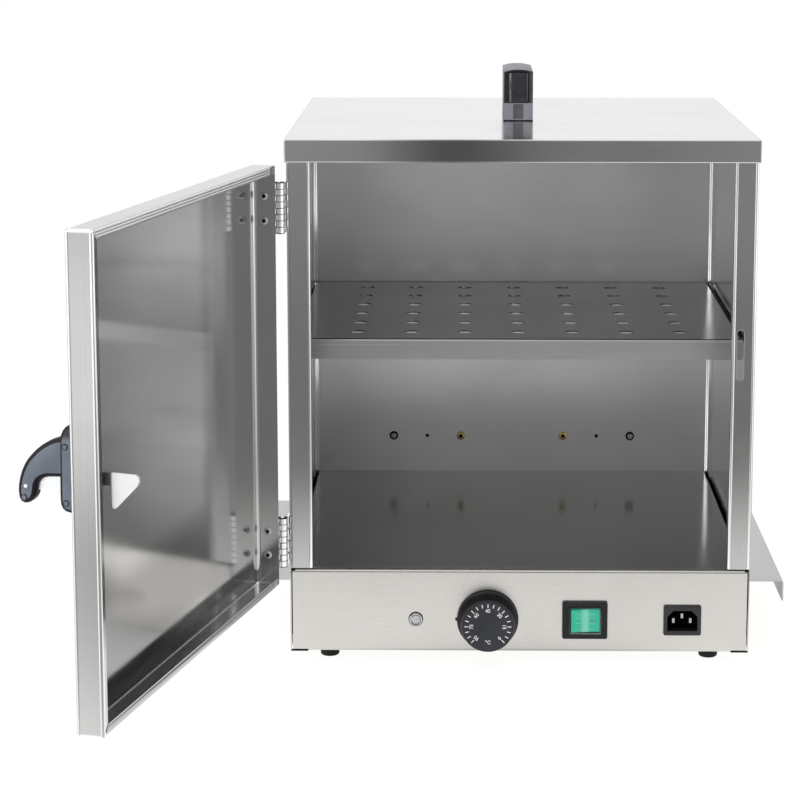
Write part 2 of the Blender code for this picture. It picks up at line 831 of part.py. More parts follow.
inlet_front = -FIT_GAP - 0.0024
inlet_points = window(INLET_X, INLET_WIDTH, INLET_HEIGHT)
inlet = prism("power_inlet", rounded(inlet_points, 0.0012, 2), inlet_front, -FIT_GAP, "Y", assembly)
soften(inlet, 0.0005, 1)
inlet_back = prism("power_inlet_body", window(INLET_X, *inlet_body), -0.001, 0.0205, "Y", assembly)
join(inlet, inlet_back)
mouth_x, mouth_z = inlet_body[0] / 2 - 0.0014, inlet_body[1] / 2 - 0.0014
mouth = [
    (INLET_X - mouth_x, CONTROL_Z - mouth_z),
    (INLET_X + mouth_x, CONTROL_Z - mouth_z),
    (INLET_X + mouth_x, CONTROL_Z + mouth_z - 0.005),
    (INLET_X + mouth_x - 0.005, CONTROL_Z + mouth_z),
    (INLET_X - mouth_x + 0.005, CONTROL_Z + mouth_z),
    (INLET_X - mouth_x, CONTROL_Z + mouth_z - 0.005),
]
inlet_room = prism("inlet_room_cut", mouth, -0.01, 0.0165, "Y", assembly)
cut(inlet, inlet_room)
blades = (("left", -0.007, -0.0015), ("middle", 0.0, 0.0025), ("right", 0.007, -0.0015))
for name, x, z in blades:
    place = (INLET_X + x, CONTROL_Z + z)
    blade = prism(
        "inlet_blade_" + name,
        rectangle(place[0] - 0.001, place[0] + 0.001, place[1] - 0.002, place[1] + 0.002),
        0.0035,
        0.0265,
        "Y",
        assembly,
    )
    bright(blade)
    hole = prism(
        "inlet_blade_cut_" + name,
        rectangle(
            place[0] - 0.001 - FIT_GAP,
            place[0] + 0.001 + FIT_GAP,
            place[1] - 0.002 - FIT_GAP,
            place[1] + 0.002 + FIT_GAP,
        ),
        0.010,
        0.03,
        "Y",
        assembly,
    )
    cut(inlet, hole)
black(inlet)

# Door pan: skin, four walls and three lips with mitred ends, in the door's own frame
door = box("door_pan", (HINGE_U, FREE_U), (SKIN_PLANE, LIP_PLANE), (DOOR_BOTTOM, DOOR_TOP), door_frame)
soften(door, 0.0011, 2)
lip_back = LIP_PLANE - SHEET
pan_room = box(
    "door_room_cut",
    (HINGE_U + SHEET, FREE_U - SHEET),
    (SKIN_PLANE + SHEET, lip_back),
    (DOOR_BOTTOM + SHEET, DOOR_TOP - SHEET),
    door_frame,
)
opening = [
    (HINGE_U + SHEET, DOOR_BOTTOM + DOOR_LIP),
    (FREE_U - DOOR_LIP, DOOR_BOTTOM + DOOR_LIP),
    (FREE_U - DOOR_LIP, DOOR_TOP - DOOR_LIP),
    (HINGE_U + SHEET, DOOR_TOP - DOOR_LIP),
]
pan_mouth = prism("door_mouth_cut", opening, lip_back - 0.0004, LIP_PLANE + 0.01, "Y", door_frame)
mitre = 0.0005
reach = DOOR_LIP + 0.001
start = SHEET + 0.0002
mitres = []
for z, way in ((DOOR_BOTTOM, 1), (DOOR_TOP, -1)):
    points = [
        (FREE_U - start - mitre, z + way * (start - mitre)),
        (FREE_U - start + mitre, z + way * (start + mitre)),
        (FREE_U - reach + mitre, z + way * (reach + mitre)),
        (FREE_U - reach - mitre, z + way * (reach - mitre)),
    ]
    mitres.append(points)
mitre_cut = prisms("door_mitre_cut", mitres, lip_back - 0.0004, LIP_PLANE + 0.01, "Y", door_frame)
rivet_n = -leaf_screw_y
door_holes = prisms(
    "door_hole_cut",
    [disc(rivet_n, z, hole_radius, 16) for z in screw_z],
    HINGE_U - 0.006,
    HINGE_U + 0.006,
    "X",
    door_frame,
)
plate_half = PLATE_THICKNESS / 2 + PLATE_CLEARANCE
skin_slot = box(
    "door_slot_cut",
    (LATCH_U - plate_half, LATCH_U + plate_half),
    (SKIN_PLANE - 0.01, SKIN_PLANE + 0.01),
    (LATCH_Z + 0.6 * GRIP_UNIT, LATCH_Z + 27.2 * GRIP_UNIT),
    door_frame,
)
for piece in (pan_room, pan_mouth, mitre_cut, door_holes, skin_slot):
    cut(door, piece)
steel(door)

# Butt hinges: a comb of knuckles on each leaf, a pin and screws
knuckle = HINGE_HEIGHT / KNUCKLES
leaf_face = HINGE_OFFSET - FIT_GAP
leaf_root = 0.0010
leaf_edge = KNUCKLE_RADIUS - 0.0002


def leaf(name, centre, way, first, parent, across):
    low = centre - HINGE_HEIGHT / 2
    teeth = range(first, KNUCKLES, 2)
    outline = [(across + way * LEAF_WIDTH, low), (across + way * LEAF_WIDTH, low + HINGE_HEIGHT)]
    notches = [(across + way * leaf_edge, low + HINGE_HEIGHT)]
    for tooth in reversed(teeth):
        bottom_z = low + tooth * knuckle + FIT_GAP / 2
        top_z = bottom_z + knuckle - FIT_GAP
        notches += [
            (across + way * leaf_edge, top_z),
            (across + way * leaf_root, top_z),
            (across + way * leaf_root, bottom_z),
            (across + way * leaf_edge, bottom_z),
        ]
    notches.append((across + way * leaf_edge, low))
    shift = -HALF - HINGE_OFFSET if parent == assembly else 0.0
    plate = prism(
        name, outline + notches, shift + leaf_face - LEAF_THICKNESS, shift + leaf_face, "X", parent
    )
    rings = bmesh.new()
    for tooth in teeth:
        bottom_z = low + tooth * knuckle + FIT_GAP / 2
        add_prism(
            rings, disc(shift, across, KNUCKLE_RADIUS, 20), bottom_z, bottom_z + knuckle - FIT_GAP, "Z"
        )
    ring_set = keep(name + "_rings", rings, parent)
    join(plate, ring_set)
    bore = prism(
        name + "_bore_cut",
        disc(shift, across, PIN_RADIUS + FIT_GAP, 16),
        low - 0.01,
        low + HINGE_HEIGHT + 0.01,
        "Z",
        parent,
    )
    cut(plate, bore)
    return plate


for label, z in zip(("bottom", "top"), hinge_z):
    frame_leaf = leaf("hinge_" + label + "_frame_leaf", z, 1, 1, assembly, LIP_PLANE)
    cut(frame_leaf, frame_holes)
    steel(frame_leaf)
    door_leaf = leaf("hinge_" + label + "_door_leaf", z, -1, 0, door_frame, 0.0)
    cut(door_leaf, door_holes)
    steel(door_leaf)
    pin_low = z - HINGE_HEIGHT / 2 - 0.0012
    pin_high = z + HINGE_HEIGHT / 2 + 0.0012
    pin = lathe(
        "hinge_" + label + "_pin",
        [
            (PIN_RADIUS * 0.6, pin_low),
            (PIN_RADIUS, pin_low + 0.0008),
            (PIN_RADIUS, pin_high - 0.0008),
            (PIN_RADIUS * 0.6, pin_high),
        ],
        (-HALF - HINGE_OFFSET, LIP_PLANE),
        "Z",
        16,
        assembly,
    )
    bright(pin)

rivet_names = ("bottom_lower", "bottom_upper", "top_lower", "top_upper")
for name, z in zip(rivet_names, screw_z):
    outer = leaf_face - LEAF_THICKNESS
    seat = HINGE_U + SHEET + FIT_GAP
    profile = [
        (LEAF_SCREW_RADIUS, outer),
        (LEAF_SCREW_RADIUS, seat),
        (LEAF_SCREW_RADIUS + 0.0013, seat),
        (LEAF_SCREW_RADIUS + 0.0011, seat + 0.0009),
        (LEAF_SCREW_RADIUS + 0.0001, seat + 0.0017),
    ]
    rivet = lathe("hinge_door_rivet_" + name, profile, (rivet_n, z), "X", 16, door_frame)
    rivet_bore = prism(
        "hinge_door_rivet_cut_" + name, disc(rivet_n, z, 0.0011, 10), seat, seat + 0.004, "X", door_frame
    )
    cut(rivet, rivet_bore)
    bright(rivet)
    shift = -HALF - HINGE_OFFSET
    frame_profile = [(radius, shift + along) for radius, along in profile]
    screw = lathe(
        "hinge_frame_screw_" + name, frame_profile, (LIP_PLANE + leaf_screw_y, z), "X", 16, assembly
    )
    bright(screw)

# Grip on the door skin: a base plate with a hooked handle, slotted for the latch plate


def on_door(points):
    return [(SKIN_PLANE - FIT_GAP - out * GRIP_UNIT, LATCH_Z + up * GRIP_UNIT) for out, up in points]


base_plate = on_door(
    [
        (0.0, 47.5),
        (0.0, -13.4),
        (3.4, -13.2),
        (6.8, -12.4),
        (9.0, -10.4),
        (10.2, -7.6),
        (10.5, -4.4),
        (10.2, 36.0),
        (9.4, 39.6),
        (7.8, 43.2),
        (5.8, 45.8),
        (3.4, 47.2),
    ]
)
hook_grip = on_door(
    [
        (4.0, 38.6),
        (10.0, 38.2),
        (14.3, 37.1),
        (18.7, 35.2),
        (23.1, 32.5),
        (27.5, 29.1),
        (31.0, 25.5),
        (33.8, 22.4),
        (36.4, 18.3),
        (38.4, 14.0),
        (40.0, 9.1),
        (41.0, 4.1),
        (41.3, -0.8),
        (40.8, -4.9),
        (39.2, -7.6),
        (36.6, -8.7),
        (33.6, -8.2),
        (30.5, -6.0),
        (28.5, -2.7),
        (27.8, 1.5),
        (27.2, 5.0),
        (25.6, 7.6),
        (23.0, 9.5),
        (19.4, 10.6),
        (10.3, 11.0),
        (4.0, 11.0),
    ]
)
grip_low, grip_high = LATCH_U - GRIP_WIDTH / 2, LATCH_U + GRIP_WIDTH / 2
housing = prism("handle_housing", base_plate, grip_low, grip_high, "X", door_frame)
hook = prism("handle_hook", hook_grip, grip_low + 0.0004, grip_high - 0.0004, "X", door_frame)
soften(hook, 0.0012, 2)
soften(housing, 0.0010, 2)
join(housing, hook)
room_path = [
    (38.3, 2.5),
    (38.3, 5.1),
    (37.0, 6.8),
    (33.0, 10.0),
    (26.0, 15.5),
    (16.0, 21.5),
    (8.0, 25.0),
    (-5.0, 29.5),
    (-5.0, 0.0),
    (5.0, -1.5),
    (9.5, -4.0),
    (29.5, -3.6),
    (32.5, 0.6),
    (35.0, 0.5),
    (37.0, 0.9),
]
plate_room = prism("plate_room_cut", on_door(room_path), LATCH_U - plate_half, LATCH_U + plate_half, "X", door_frame)
cut(housing, plate_room)
pin_bore = prism(
    "latch_pin_bore_cut",
    disc(pivot_n, pivot_z, LATCH_PIN_RADIUS + FIT_GAP, 14),
    LATCH_U - 0.02,
    LATCH_U + 0.02,
    "X",
    door_frame,
)
cut(housing, pin_bore)
black(housing)
latch_pin = lathe(
    "latch_pin",
    [(LATCH_PIN_RADIUS, grip_low + 0.0002), (LATCH_PIN_RADIUS, grip_high - 0.0002)],
    (pivot_n, pivot_z),
    "X",
    14,
    door_frame,
)
bright(latch_pin)

# Latch plate: eye, finger edge, neck through the door and hook, in the pivot's frame
barb = (DOOR_GAP + SHEET) / GRIP_UNIT + 0.6


def on_plate(n, up):
    return (LIP_PLANE + n * GRIP_UNIT - pivot_n, up * GRIP_UNIT - PIVOT_RISE)


def in_grip(out, up):
    return (PIVOT_REACH - out * GRIP_UNIT, up * GRIP_UNIT - PIVOT_RISE)


eye_radius = 2.7 * GRIP_UNIT
eye = [
    (eye_radius * math.cos(math.radians(a)), eye_radius * math.sin(math.radians(a)))
    for a in (105, 140, 175, 210, 245, 280)
]
plate_points = eye + [
    in_grip(29.5, 0.2),
    in_grip(26.6, 1.1),
    in_grip(23.0, 1.6),
    in_grip(18.6, 1.0),
    in_grip(15.0, -0.5),
    in_grip(13.0, -1.8),
    in_grip(10.5, -2.3),
    in_grip(8.0, -2.0),
    in_grip(4.0, 0.6),
    in_grip(0.0, 2.6),
    on_plate(-9.0, 5.8),
    on_plate(0.6, 6.3),
    on_plate(1.4, 6.6),
    on_plate(barb - 0.9, 6.2),
    on_plate(barb, 4.4),
    on_plate(barb + 0.4, -7.6),
    on_plate(barb + 1.4, -9.2),
    on_plate(barb + 3.2, -9.0),
    on_plate(22.8, 6.8),
    on_plate(24.8, 10.2),
    on_plate(24.6, 12.8),
    on_plate(22.2, 14.8),
    on_plate(0.0, 15.6),
    in_grip(0.0, 14.6),
    in_grip(8.0, 14.0),
    in_grip(16.0, 13.0),
    in_grip(24.0, 10.5),
]
half_plate = PLATE_THICKNESS / 2
lever = prism("latch_lever", plate_points, -half_plate, half_plate, "X", latch_frame)
eye_bore = prism(
    "latch_eye_cut", disc(0.0, 0.0, LATCH_PIN_RADIUS + FIT_GAP, 14), -0.01, 0.01, "X", latch_frame
)
cut(lever, eye_bore)
bright(lever)
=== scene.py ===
import math
import bpy
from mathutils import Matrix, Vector


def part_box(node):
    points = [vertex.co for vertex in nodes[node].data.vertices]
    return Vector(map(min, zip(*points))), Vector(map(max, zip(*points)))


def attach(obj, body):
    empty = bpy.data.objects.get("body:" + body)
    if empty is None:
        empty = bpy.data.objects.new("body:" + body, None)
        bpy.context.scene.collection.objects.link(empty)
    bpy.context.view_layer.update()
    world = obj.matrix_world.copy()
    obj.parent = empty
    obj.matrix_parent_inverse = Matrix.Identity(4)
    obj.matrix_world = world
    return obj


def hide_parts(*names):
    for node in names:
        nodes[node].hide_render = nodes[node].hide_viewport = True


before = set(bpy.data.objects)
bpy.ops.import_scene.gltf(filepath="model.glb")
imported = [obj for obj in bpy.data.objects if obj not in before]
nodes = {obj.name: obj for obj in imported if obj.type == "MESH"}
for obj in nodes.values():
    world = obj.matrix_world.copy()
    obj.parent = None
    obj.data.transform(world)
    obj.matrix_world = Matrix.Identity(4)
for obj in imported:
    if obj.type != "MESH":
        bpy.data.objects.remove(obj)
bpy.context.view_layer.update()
scene = bpy.context.scene
print("frame loaded:", len(nodes), "nodes")

rightward = Vector((1, 0, 0))
backward = Vector((0, 1, 0))
front = Vector((0, -1, 0))
upward = Vector((0, 0, 1))


def boxMiddle(node):
    low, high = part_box(node)
    return [(a + b) / 2 for a, b in zip(low, high)]


def frontOf(node):
    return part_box(node)[0][1]


def span(edge, way, start, stop):  # two places along one axis, the lower one first
    return sorted((edge + way * start, edge + way * stop))


# small helpers for shader trees
def addNode(tree, kind, **values):
    node = tree.nodes.new(kind)
    for key, value in values.items():
        setattr(node, key, value)
    return node


def setIn(node, **values):
    for key, value in values.items():
        node.inputs[key.replace("_", " ")].default_value = value
    return node


def feed(tree, socket, value):  # another node's output is linked, a plain value is set
    if isinstance(value, bpy.types.NodeSocket):
        tree.links.new(value, socket)
    else:
        socket.default_value = value


def mathNode(tree, operation, *values):
    node = addNode(tree, "ShaderNodeMath", operation=operation)
    for socket, value in zip(node.inputs, values):
        feed(tree, socket, value)
    return node.outputs[0]


def blend(tree, share, first, second):  # first where the share is 0, second where it is 1
    kept = mathNode(tree, "MULTIPLY", mathNode(tree, "SUBTRACT", 1.0, share), first)
    return mathNode(tree, "ADD", kept, mathNode(tree, "MULTIPLY", share, second))


def rangeNode(tree, value, low, high, outLow=0.0, outHigh=1.0, smooth=False):
    node = addNode(tree, "ShaderNodeMapRange", interpolation_type="SMOOTHSTEP" if smooth else "LINEAR")
    tree.links.new(value, node.inputs["Value"])
    return setIn(node, From_Min=low, From_Max=high, To_Min=outLow, To_Max=outHigh).outputs[0]


def mixColour(tree, factor, first, second):  # a colour is red, green and blue, or another node's output
    node = addNode(tree, "ShaderNodeMix", data_type="RGBA")
    feed(tree, node.inputs[0], factor)
    for socket, colour in ((node.inputs[6], first), (node.inputs[7], second)):
        feed(tree, socket, colour + (1,) if isinstance(colour, tuple) else colour)
    return node.outputs[2]


def noiseNode(tree, vector, **values):
    noise = setIn(addNode(tree, "ShaderNodeTexNoise"), **values)
    tree.links.new(vector, noise.inputs["Vector"])
    return noise.outputs[0]


def measure(tree, operation, place, other):  # DOT_PRODUCT with a direction, or DISTANCE from a spot
    node = addNode(tree, "ShaderNodeVectorMath", operation=operation)
    tree.links.new(place, node.inputs[0])
    node.inputs[1].default_value = other
    return node.outputs["Value"]


def rampNode(tree, value, stops):  # stops are (place from 0 to 1, grey level)
    ramp = addNode(tree, "ShaderNodeValToRGB")
    ramp.color_ramp.interpolation = "EASE"
    marks = ramp.color_ramp.elements
    for spot, level in stops:
        ends = {0.0: marks[0], 1.0: marks[-1]}
        mark = ends[spot] if spot in ends else marks.new(spot)
        mark.color = (level, level, level, 1)
    tree.links.new(value, ramp.inputs[0])
    return ramp.outputs[0]


def addRelief(tree, shader, height, strength, depth):
    relief = setIn(addNode(tree, "ShaderNodeBump"), Strength=strength, Distance=depth)
    tree.links.new(height, relief.inputs["Height"])
    tree.links.new(relief.outputs[0], shader.inputs["Normal"])


def newGroup(name, *outputs):  # a group that reads a place and puts out plain values
    group = bpy.data.node_groups.new(name, "ShaderNodeTree")
    group.interface.new_socket("Vector", in_out="INPUT", socket_type="NodeSocketVector")
    for key in outputs:
        group.interface.new_socket(key, in_out="OUTPUT", socket_type="NodeSocketFloat")
    start = group.nodes.new("NodeGroupInput")
    end = group.nodes.new("NodeGroupOutput")
    return group, start.outputs["Vector"], end.inputs


# brush lines of rolled sheet: long streaks and finer hairlines
brushLook = {"streakShare": 0.6, "hairShare": 0.4, "toneRange": (0.34, 0.66), "glossRange": (0.35, 0.65)}


def brushGroup():
    tree, place, ends = newGroup("sheetBrush", "Tone", "Gloss", "Height")
    streak = noiseNode(tree, place, Scale=1.0, Detail=3.0, Roughness=0.6)
    hair = noiseNode(tree, place, Scale=4.3, Detail=2.0, Roughness=0.7)
    both = mathNode(tree, "ADD", mathNode(tree, "MULTIPLY", streak, brushLook["streakShare"]),
                    mathNode(tree, "MULTIPLY", hair, brushLook["hairShare"]))
    tree.links.new(rangeNode(tree, both, *brushLook["toneRange"]), ends["Tone"])
    tree.links.new(rangeNode(tree, hair, *brushLook["glossRange"]), ends["Gloss"])
    tree.links.new(both, ends["Height"])
    return tree


# hand marks and thin dust
handledLook = {"filmRange": (0.42, 0.68), "speckRange": (0.66, 0.74)}


def handledGroup():
    tree, place, ends = newGroup("handledFilm", "Film", "Specks")
    cloud = noiseNode(tree, place, Scale=11.0, Detail=4.0, Roughness=0.55, Distortion=0.4)
    speck = noiseNode(tree, place, Scale=420.0, Detail=1.0, Roughness=0.5)
    tree.links.new(rangeNode(tree, cloud, *handledLook["filmRange"], smooth=True), ends["Film"])
    tree.links.new(rangeNode(tree, speck, *handledLook["speckRange"]), ends["Specks"])
    return tree


# spark-eroded skin of moulded plastic
mouldLook = {"pitShare": 0.5, "toneRange": (0.35, 0.65)}


def mouldGroup():
    tree, place, ends = newGroup("mouldSkin", "Height", "Tone")
    grain = noiseNode(tree, place, Scale=1900.0, Detail=2.0, Roughness=0.6)
    slow = noiseNode(tree, place, Scale=38.0, Detail=3.0)
    cells = setIn(addNode(tree, "ShaderNodeTexVoronoi"), Scale=1300.0)
    tree.links.new(place, cells.inputs["Vector"])
    pits = mathNode(tree, "MULTIPLY", cells.outputs[0], mouldLook["pitShare"])
    tree.links.new(mathNode(tree, "ADD", grain, pits), ends["Height"])
    tree.links.new(rangeNode(tree, slow, *mouldLook["toneRange"]), ends["Tone"])
    return tree


sheetBrush = brushGroup()
handledFilm = handledGroup()
mouldSkin = mouldGroup()


def placeGroup(tree, group, vector):
    node = addNode(tree, "ShaderNodeGroup", node_tree=group)
    tree.links.new(vector, node.inputs["Vector"])
    return node


def shaderOf(material):
    return material.node_tree.nodes["Principled BSDF"]


def newMaterial(name):
    material = bpy.data.materials.new(name)
    material.use_nodes = True
    place = addNode(material.node_tree, "ShaderNodeTexCoord")
    return material, material.node_tree, shaderOf(material), place.outputs["Object"]


finishLook = {"faceDeep": 0.00014, "flangeDeep": 0.00098, "skinDeep": 0.0016, "faceBlend": 0.00008,
              "steelRelief": 0.0004, "platedRelief": 0.0002, "mouldedRelief": 0.0003,
              "platedTone": (0.35, 0.65), "platedGloss": (0.3, 0.7), "platedSpread": (0.8, 1.25),
              "platedFilm": 0.06, "mouldedGloss": (0.4, 1.0), "mouldedSpread": 0.05, "mouldedFilm": 0.08,
              "dustTone": (0.30, 0.30, 0.30), "dustGain": 4.0}


# sheet steel: grainAxis is the way the brush lines run, and face gives one face its own gloss and a tone
# painted lighter or darker for the light that face gets
def steelFinish(name, dark, light, rough, roughSpread, grainAxis="X", lines=900.0, stretch=5.0, bump=0.03,
                film=0.05, face=None):
    material, tree, shader, place = newMaterial(name)
    mapping = addNode(tree, "ShaderNodeMapping")
    mapping.inputs["Scale"].default_value = [stretch if axis == grainAxis else lines for axis in "XYZ"]
    tree.links.new(place, mapping.inputs["Vector"])
    brush = placeGroup(tree, sheetBrush, mapping.outputs[0])
    handled = placeGroup(tree, handledFilm, place)
    colour = mixColour(tree, brush.outputs["Tone"], dark, light)
    gloss = rangeNode(tree, brush.outputs["Gloss"], 0.0, 1.0, rough - roughSpread, rough + roughSpread)
    if face:  # it shows where the distance along facing is under the limit
        facing, limit, faceDark, faceLight, faceRough = face
        depth = measure(tree, "DOT_PRODUCT", place, facing)
        soft = finishLook["faceBlend"]
        show = rangeNode(tree, depth, limit - soft, limit + soft, 1.0, 0.0)
        colour = mixColour(tree, show, colour, mixColour(tree, brush.outputs["Tone"], faceDark, faceLight))
        gloss = mathNode(tree, "ADD", gloss, mathNode(tree, "MULTIPLY", show, faceRough - rough))
    smear = mathNode(tree, "MULTIPLY", handled.outputs["Film"], film)
    tree.links.new(colour, shader.inputs["Base Color"])
    tree.links.new(mathNode(tree, "ADD", gloss, smear), shader.inputs["Roughness"])
    addRelief(tree, shader, brush.outputs["Height"], bump, finishLook["steelRelief"])
    setIn(shader, Metallic=1.0)
    return material


# turned and plated metal: small parts with a fine unoriented grain
def platedFinish(name, dark, light, rough, scale=600.0, bump=0.05):
    material, tree, shader, place = newMaterial(name)
    grain = noiseNode(tree, place, Scale=scale, Detail=4.0, Roughness=0.6)
    handled = placeGroup(tree, handledFilm, place)
    tone = rangeNode(tree, grain, *finishLook["platedTone"])
    tree.links.new(mixColour(tree, tone, dark, light), shader.inputs["Base Color"])
    spread = [rough * share for share in finishLook["platedSpread"]]
    gloss = rangeNode(tree, grain, *finishLook["platedGloss"], *spread)
    smear = mathNode(tree, "MULTIPLY", handled.outputs["Film"], finishLook["platedFilm"])
    tree.links.new(mathNode(tree, "ADD", gloss, smear), shader.inputs["Roughness"])
    addRelief(tree, shader, grain, bump, finishLook["platedRelief"])
    setIn(shader, Metallic=1.0)
    return material


# moulded plastic and rubber
def mouldedFinish(name, dark, light, rough, bump=0.12, dust=0.02, level=0.5):
    material, tree, shader, place = newMaterial(name)
    skin = placeGroup(tree, mouldSkin, place)
    handled = placeGroup(tree, handledFilm, place)
    base = mixColour(tree, skin.outputs["Tone"], dark, light)
    dusty = mathNode(tree, "MULTIPLY", handled.outputs["Specks"], dust * finishLook["dustGain"])
    tree.links.new(mixColour(tree, dusty, base, finishLook["dustTone"]), shader.inputs["Base Color"])
    spread = finishLook["mouldedSpread"]
    limits = (rough - spread, rough + spread)
    gloss = rangeNode(tree, skin.outputs["Height"], *finishLook["mouldedGloss"], *limits)
    smear = mathNode(tree, "MULTIPLY", handled.outputs["Film"], finishLook["mouldedFilm"])
    tree.links.new(mathNode(tree, "ADD", gloss, smear), shader.inputs["Roughness"])
    addRelief(tree, shader, skin.outputs["Height"], bump, finishLook["mouldedRelief"])
    setIn(shader, Specular_IOR_Level=level)
    return material


# the door as photographed
hingeTurn = math.radians(104)
doorAlong = Vector((math.cos(hingeTurn), -math.sin(hingeTurn), 0))  # from the hinge to the free edge
doorOut = Vector((math.sin(hingeTurn), math.cos(hingeTurn), 0))  # from the skin to the chamber side
doorSkin, doorHinge = (min(point.co.dot(way) for point in nodes["door_pan"].data.vertices)
                       for way in (doorOut, doorAlong))
doorLip, doorFree = (max(point.co.dot(way) for point in nodes["door_pan"].data.vertices)
                     for way in (doorOut, doorAlong))

# painted light and shade in the face tones: the casing's and the lid's fronts painted darker, the shelf's
# front flange and the door's skin painted lighter
# sheet: dark and light tone, roughness and its spread, way of the lines, their number and stretch, bump, film
casingSteel = steelFinish(
    "casingSteel", (0.76, 0.76, 0.77), (0.81, 0.81, 0.82), 0.12, 0.02, "Z", 1300.0, 9.0,
    face=(backward, frontOf("casing") + finishLook["faceDeep"],
          (0.445, 0.445, 0.44), (0.475, 0.475, 0.47), 0.14))
lidSteel = steelFinish(
    "lidSteel", (0.70, 0.70, 0.70), (0.76, 0.76, 0.76), 0.14, 0.02, "X", 1300.0, 9.0,
    face=(backward, frontOf("lid_cover") + finishLook["faceDeep"],
          (0.47, 0.47, 0.465), (0.51, 0.51, 0.505), 0.16))
# painted reflection: the shelf's top is toned much darker than the liner, for the dark it reflects
shelfSteel = steelFinish(
    "shelfSteel", (0.22, 0.22, 0.23), (0.265, 0.265, 0.275), 0.16, 0.02, "X",
    face=(backward, frontOf("shelf") + finishLook["flangeDeep"],
          (0.41, 0.41, 0.42), (0.45, 0.45, 0.46), 0.42))
doorSteel = steelFinish(
    "doorSteel", (0.51, 0.51, 0.51), (0.55, 0.55, 0.55), 0.10, 0.02, "Z",
    face=(doorOut, doorSkin + finishLook["skinDeep"], (0.78, 0.78, 0.77), (0.82, 0.82, 0.81), 0.09))
panelSteel = steelFinish(
    "panelSteel", (0.60, 0.585, 0.56), (0.635, 0.62, 0.595), 0.28, 0.04, "X", 1700.0, 36.0, 0.02)
# painted shade: the rear cover is toned darker, like the other outer faces
rearSteel = steelFinish(
    "rearSteel", (0.44, 0.44, 0.445), (0.50, 0.50, 0.505), 0.20, 0.03, "Z", 1300.0, 9.0)
bendSteel = steelFinish(
    "bendSteel", (0.86, 0.86, 0.86), (0.89, 0.89, 0.89), 0.13, 0.01, "Z", 900.0, 5.0, 0.002, 0.02)
# painted light: the liner's corner flanges in a pale steel, mostly diffuse, so that they show as a lighter
# strip
cornerSteel = steelFinish(
    "cornerSteel", (0.90, 0.90, 0.90), (0.95, 0.95, 0.95), 0.16, 0.01, "Z", 900.0, 5.0, 0.002, 0.02)
# painted light and shade on the door's lips: the top one pale, the bottom one dim
lipPaintedLight = steelFinish("lipPaintedLight", (0.92, 0.92, 0.91), (0.97, 0.97, 0.96), 0.50, 0.02, "Y", bump=0.01)
lipPaintedShade = steelFinish("lipPaintedShade", (0.40, 0.39, 0.40), (0.44, 0.43, 0.44), 0.24, 0.02, "Y", bump=0.01)
baseSteel = steelFinish("baseSteel", (0.50, 0.50, 0.50), (0.58, 0.58, 0.58), 0.32, 0.04, "X")
linerSteel = steelFinish("linerSteel", (0.87, 0.87, 0.87), (0.92, 0.92, 0.92), 0.33, 0.03, "X")
# painted reflection: the chamber floor is toned much darker than the liner, for the dark it reflects
floorSteel = steelFinish("floorSteel", (0.29, 0.29, 0.28), (0.34, 0.34, 0.33), 0.12, 0.02, "X")
gripSteel = steelFinish("gripSteel", (0.46, 0.46, 0.47), (0.51, 0.51, 0.52), 0.28, 0.03, "Y")

# plated metal: dark and light tone, roughness, grain, bump
hingeSteel = platedFinish("hingeSteel", (0.86, 0.86, 0.87), (0.95, 0.95, 0.96), 0.16)
latchSteel = platedFinish("latchSteel", (0.95, 0.96, 0.97), (0.98, 0.99, 1.00), 0.36, bump=0.02)
screwSteel = platedFinish("screwSteel", (0.42, 0.42, 0.42), (0.56, 0.56, 0.56), 0.26)
screwBrass = platedFinish("screwBrass", (0.58, 0.42, 0.17), (0.72, 0.54, 0.25), 0.28)
lampChrome = platedFinish("lampChrome", (0.50, 0.50, 0.52), (0.60, 0.60, 0.62), 0.18)
bladeNickel = platedFinish("bladeNickel", (0.42, 0.41, 0.39), (0.52, 0.51, 0.48), 0.30)
heaterAlloy = platedFinish("heaterAlloy", (0.62, 0.63, 0.64), (0.72, 0.73, 0.74), 0.40)

# plastic and rubber: dark and light tone, roughness, bump, dust, level of the gloss
handleBlack = mouldedFinish(
    "handleBlack", (0.016, 0.016, 0.020), (0.025, 0.025, 0.031), 0.14, 0.03, level=0.7)
handleShade = mouldedFinish("handleShade", (0.060, 0.061, 0.070), (0.085, 0.086, 0.097), 0.50, 0.25)
# the handle's pillars and grip: a matt skin with a lighter tone painted on as sheen
handleMattPaintedSheen = mouldedFinish("handleMattPaintedSheen", (0.190, 0.193, 0.216), (0.228, 0.233, 0.258), 0.55, 0.25)
gripBlack = mouldedFinish("gripBlack", (0.006, 0.007, 0.009), (0.012, 0.013, 0.016), 0.34, level=0.2)
# the grip's flat sides: a matt skin with a lighter tone painted on as sheen
gripMattPaintedSheen = mouldedFinish("gripMattPaintedSheen", (0.104, 0.126, 0.162), (0.146, 0.173, 0.217), 0.38, 0.16)
dialBlack = mouldedFinish("dialBlack", (0.012, 0.012, 0.014), (0.018, 0.018, 0.021), 0.34, level=0.35)
dialFace = mouldedFinish("dialFace", (0.022, 0.024, 0.030), (0.031, 0.033, 0.041), 0.50, level=0.4)
dialSideShade = mouldedFinish("dialSideShade", (0.004, 0.004, 0.005), (0.007, 0.007, 0.008), 0.45, level=0.06)
scaleWhite = mouldedFinish("scaleWhite", (0.90, 0.90, 0.90), (0.96, 0.96, 0.96), 0.5, 0.02)
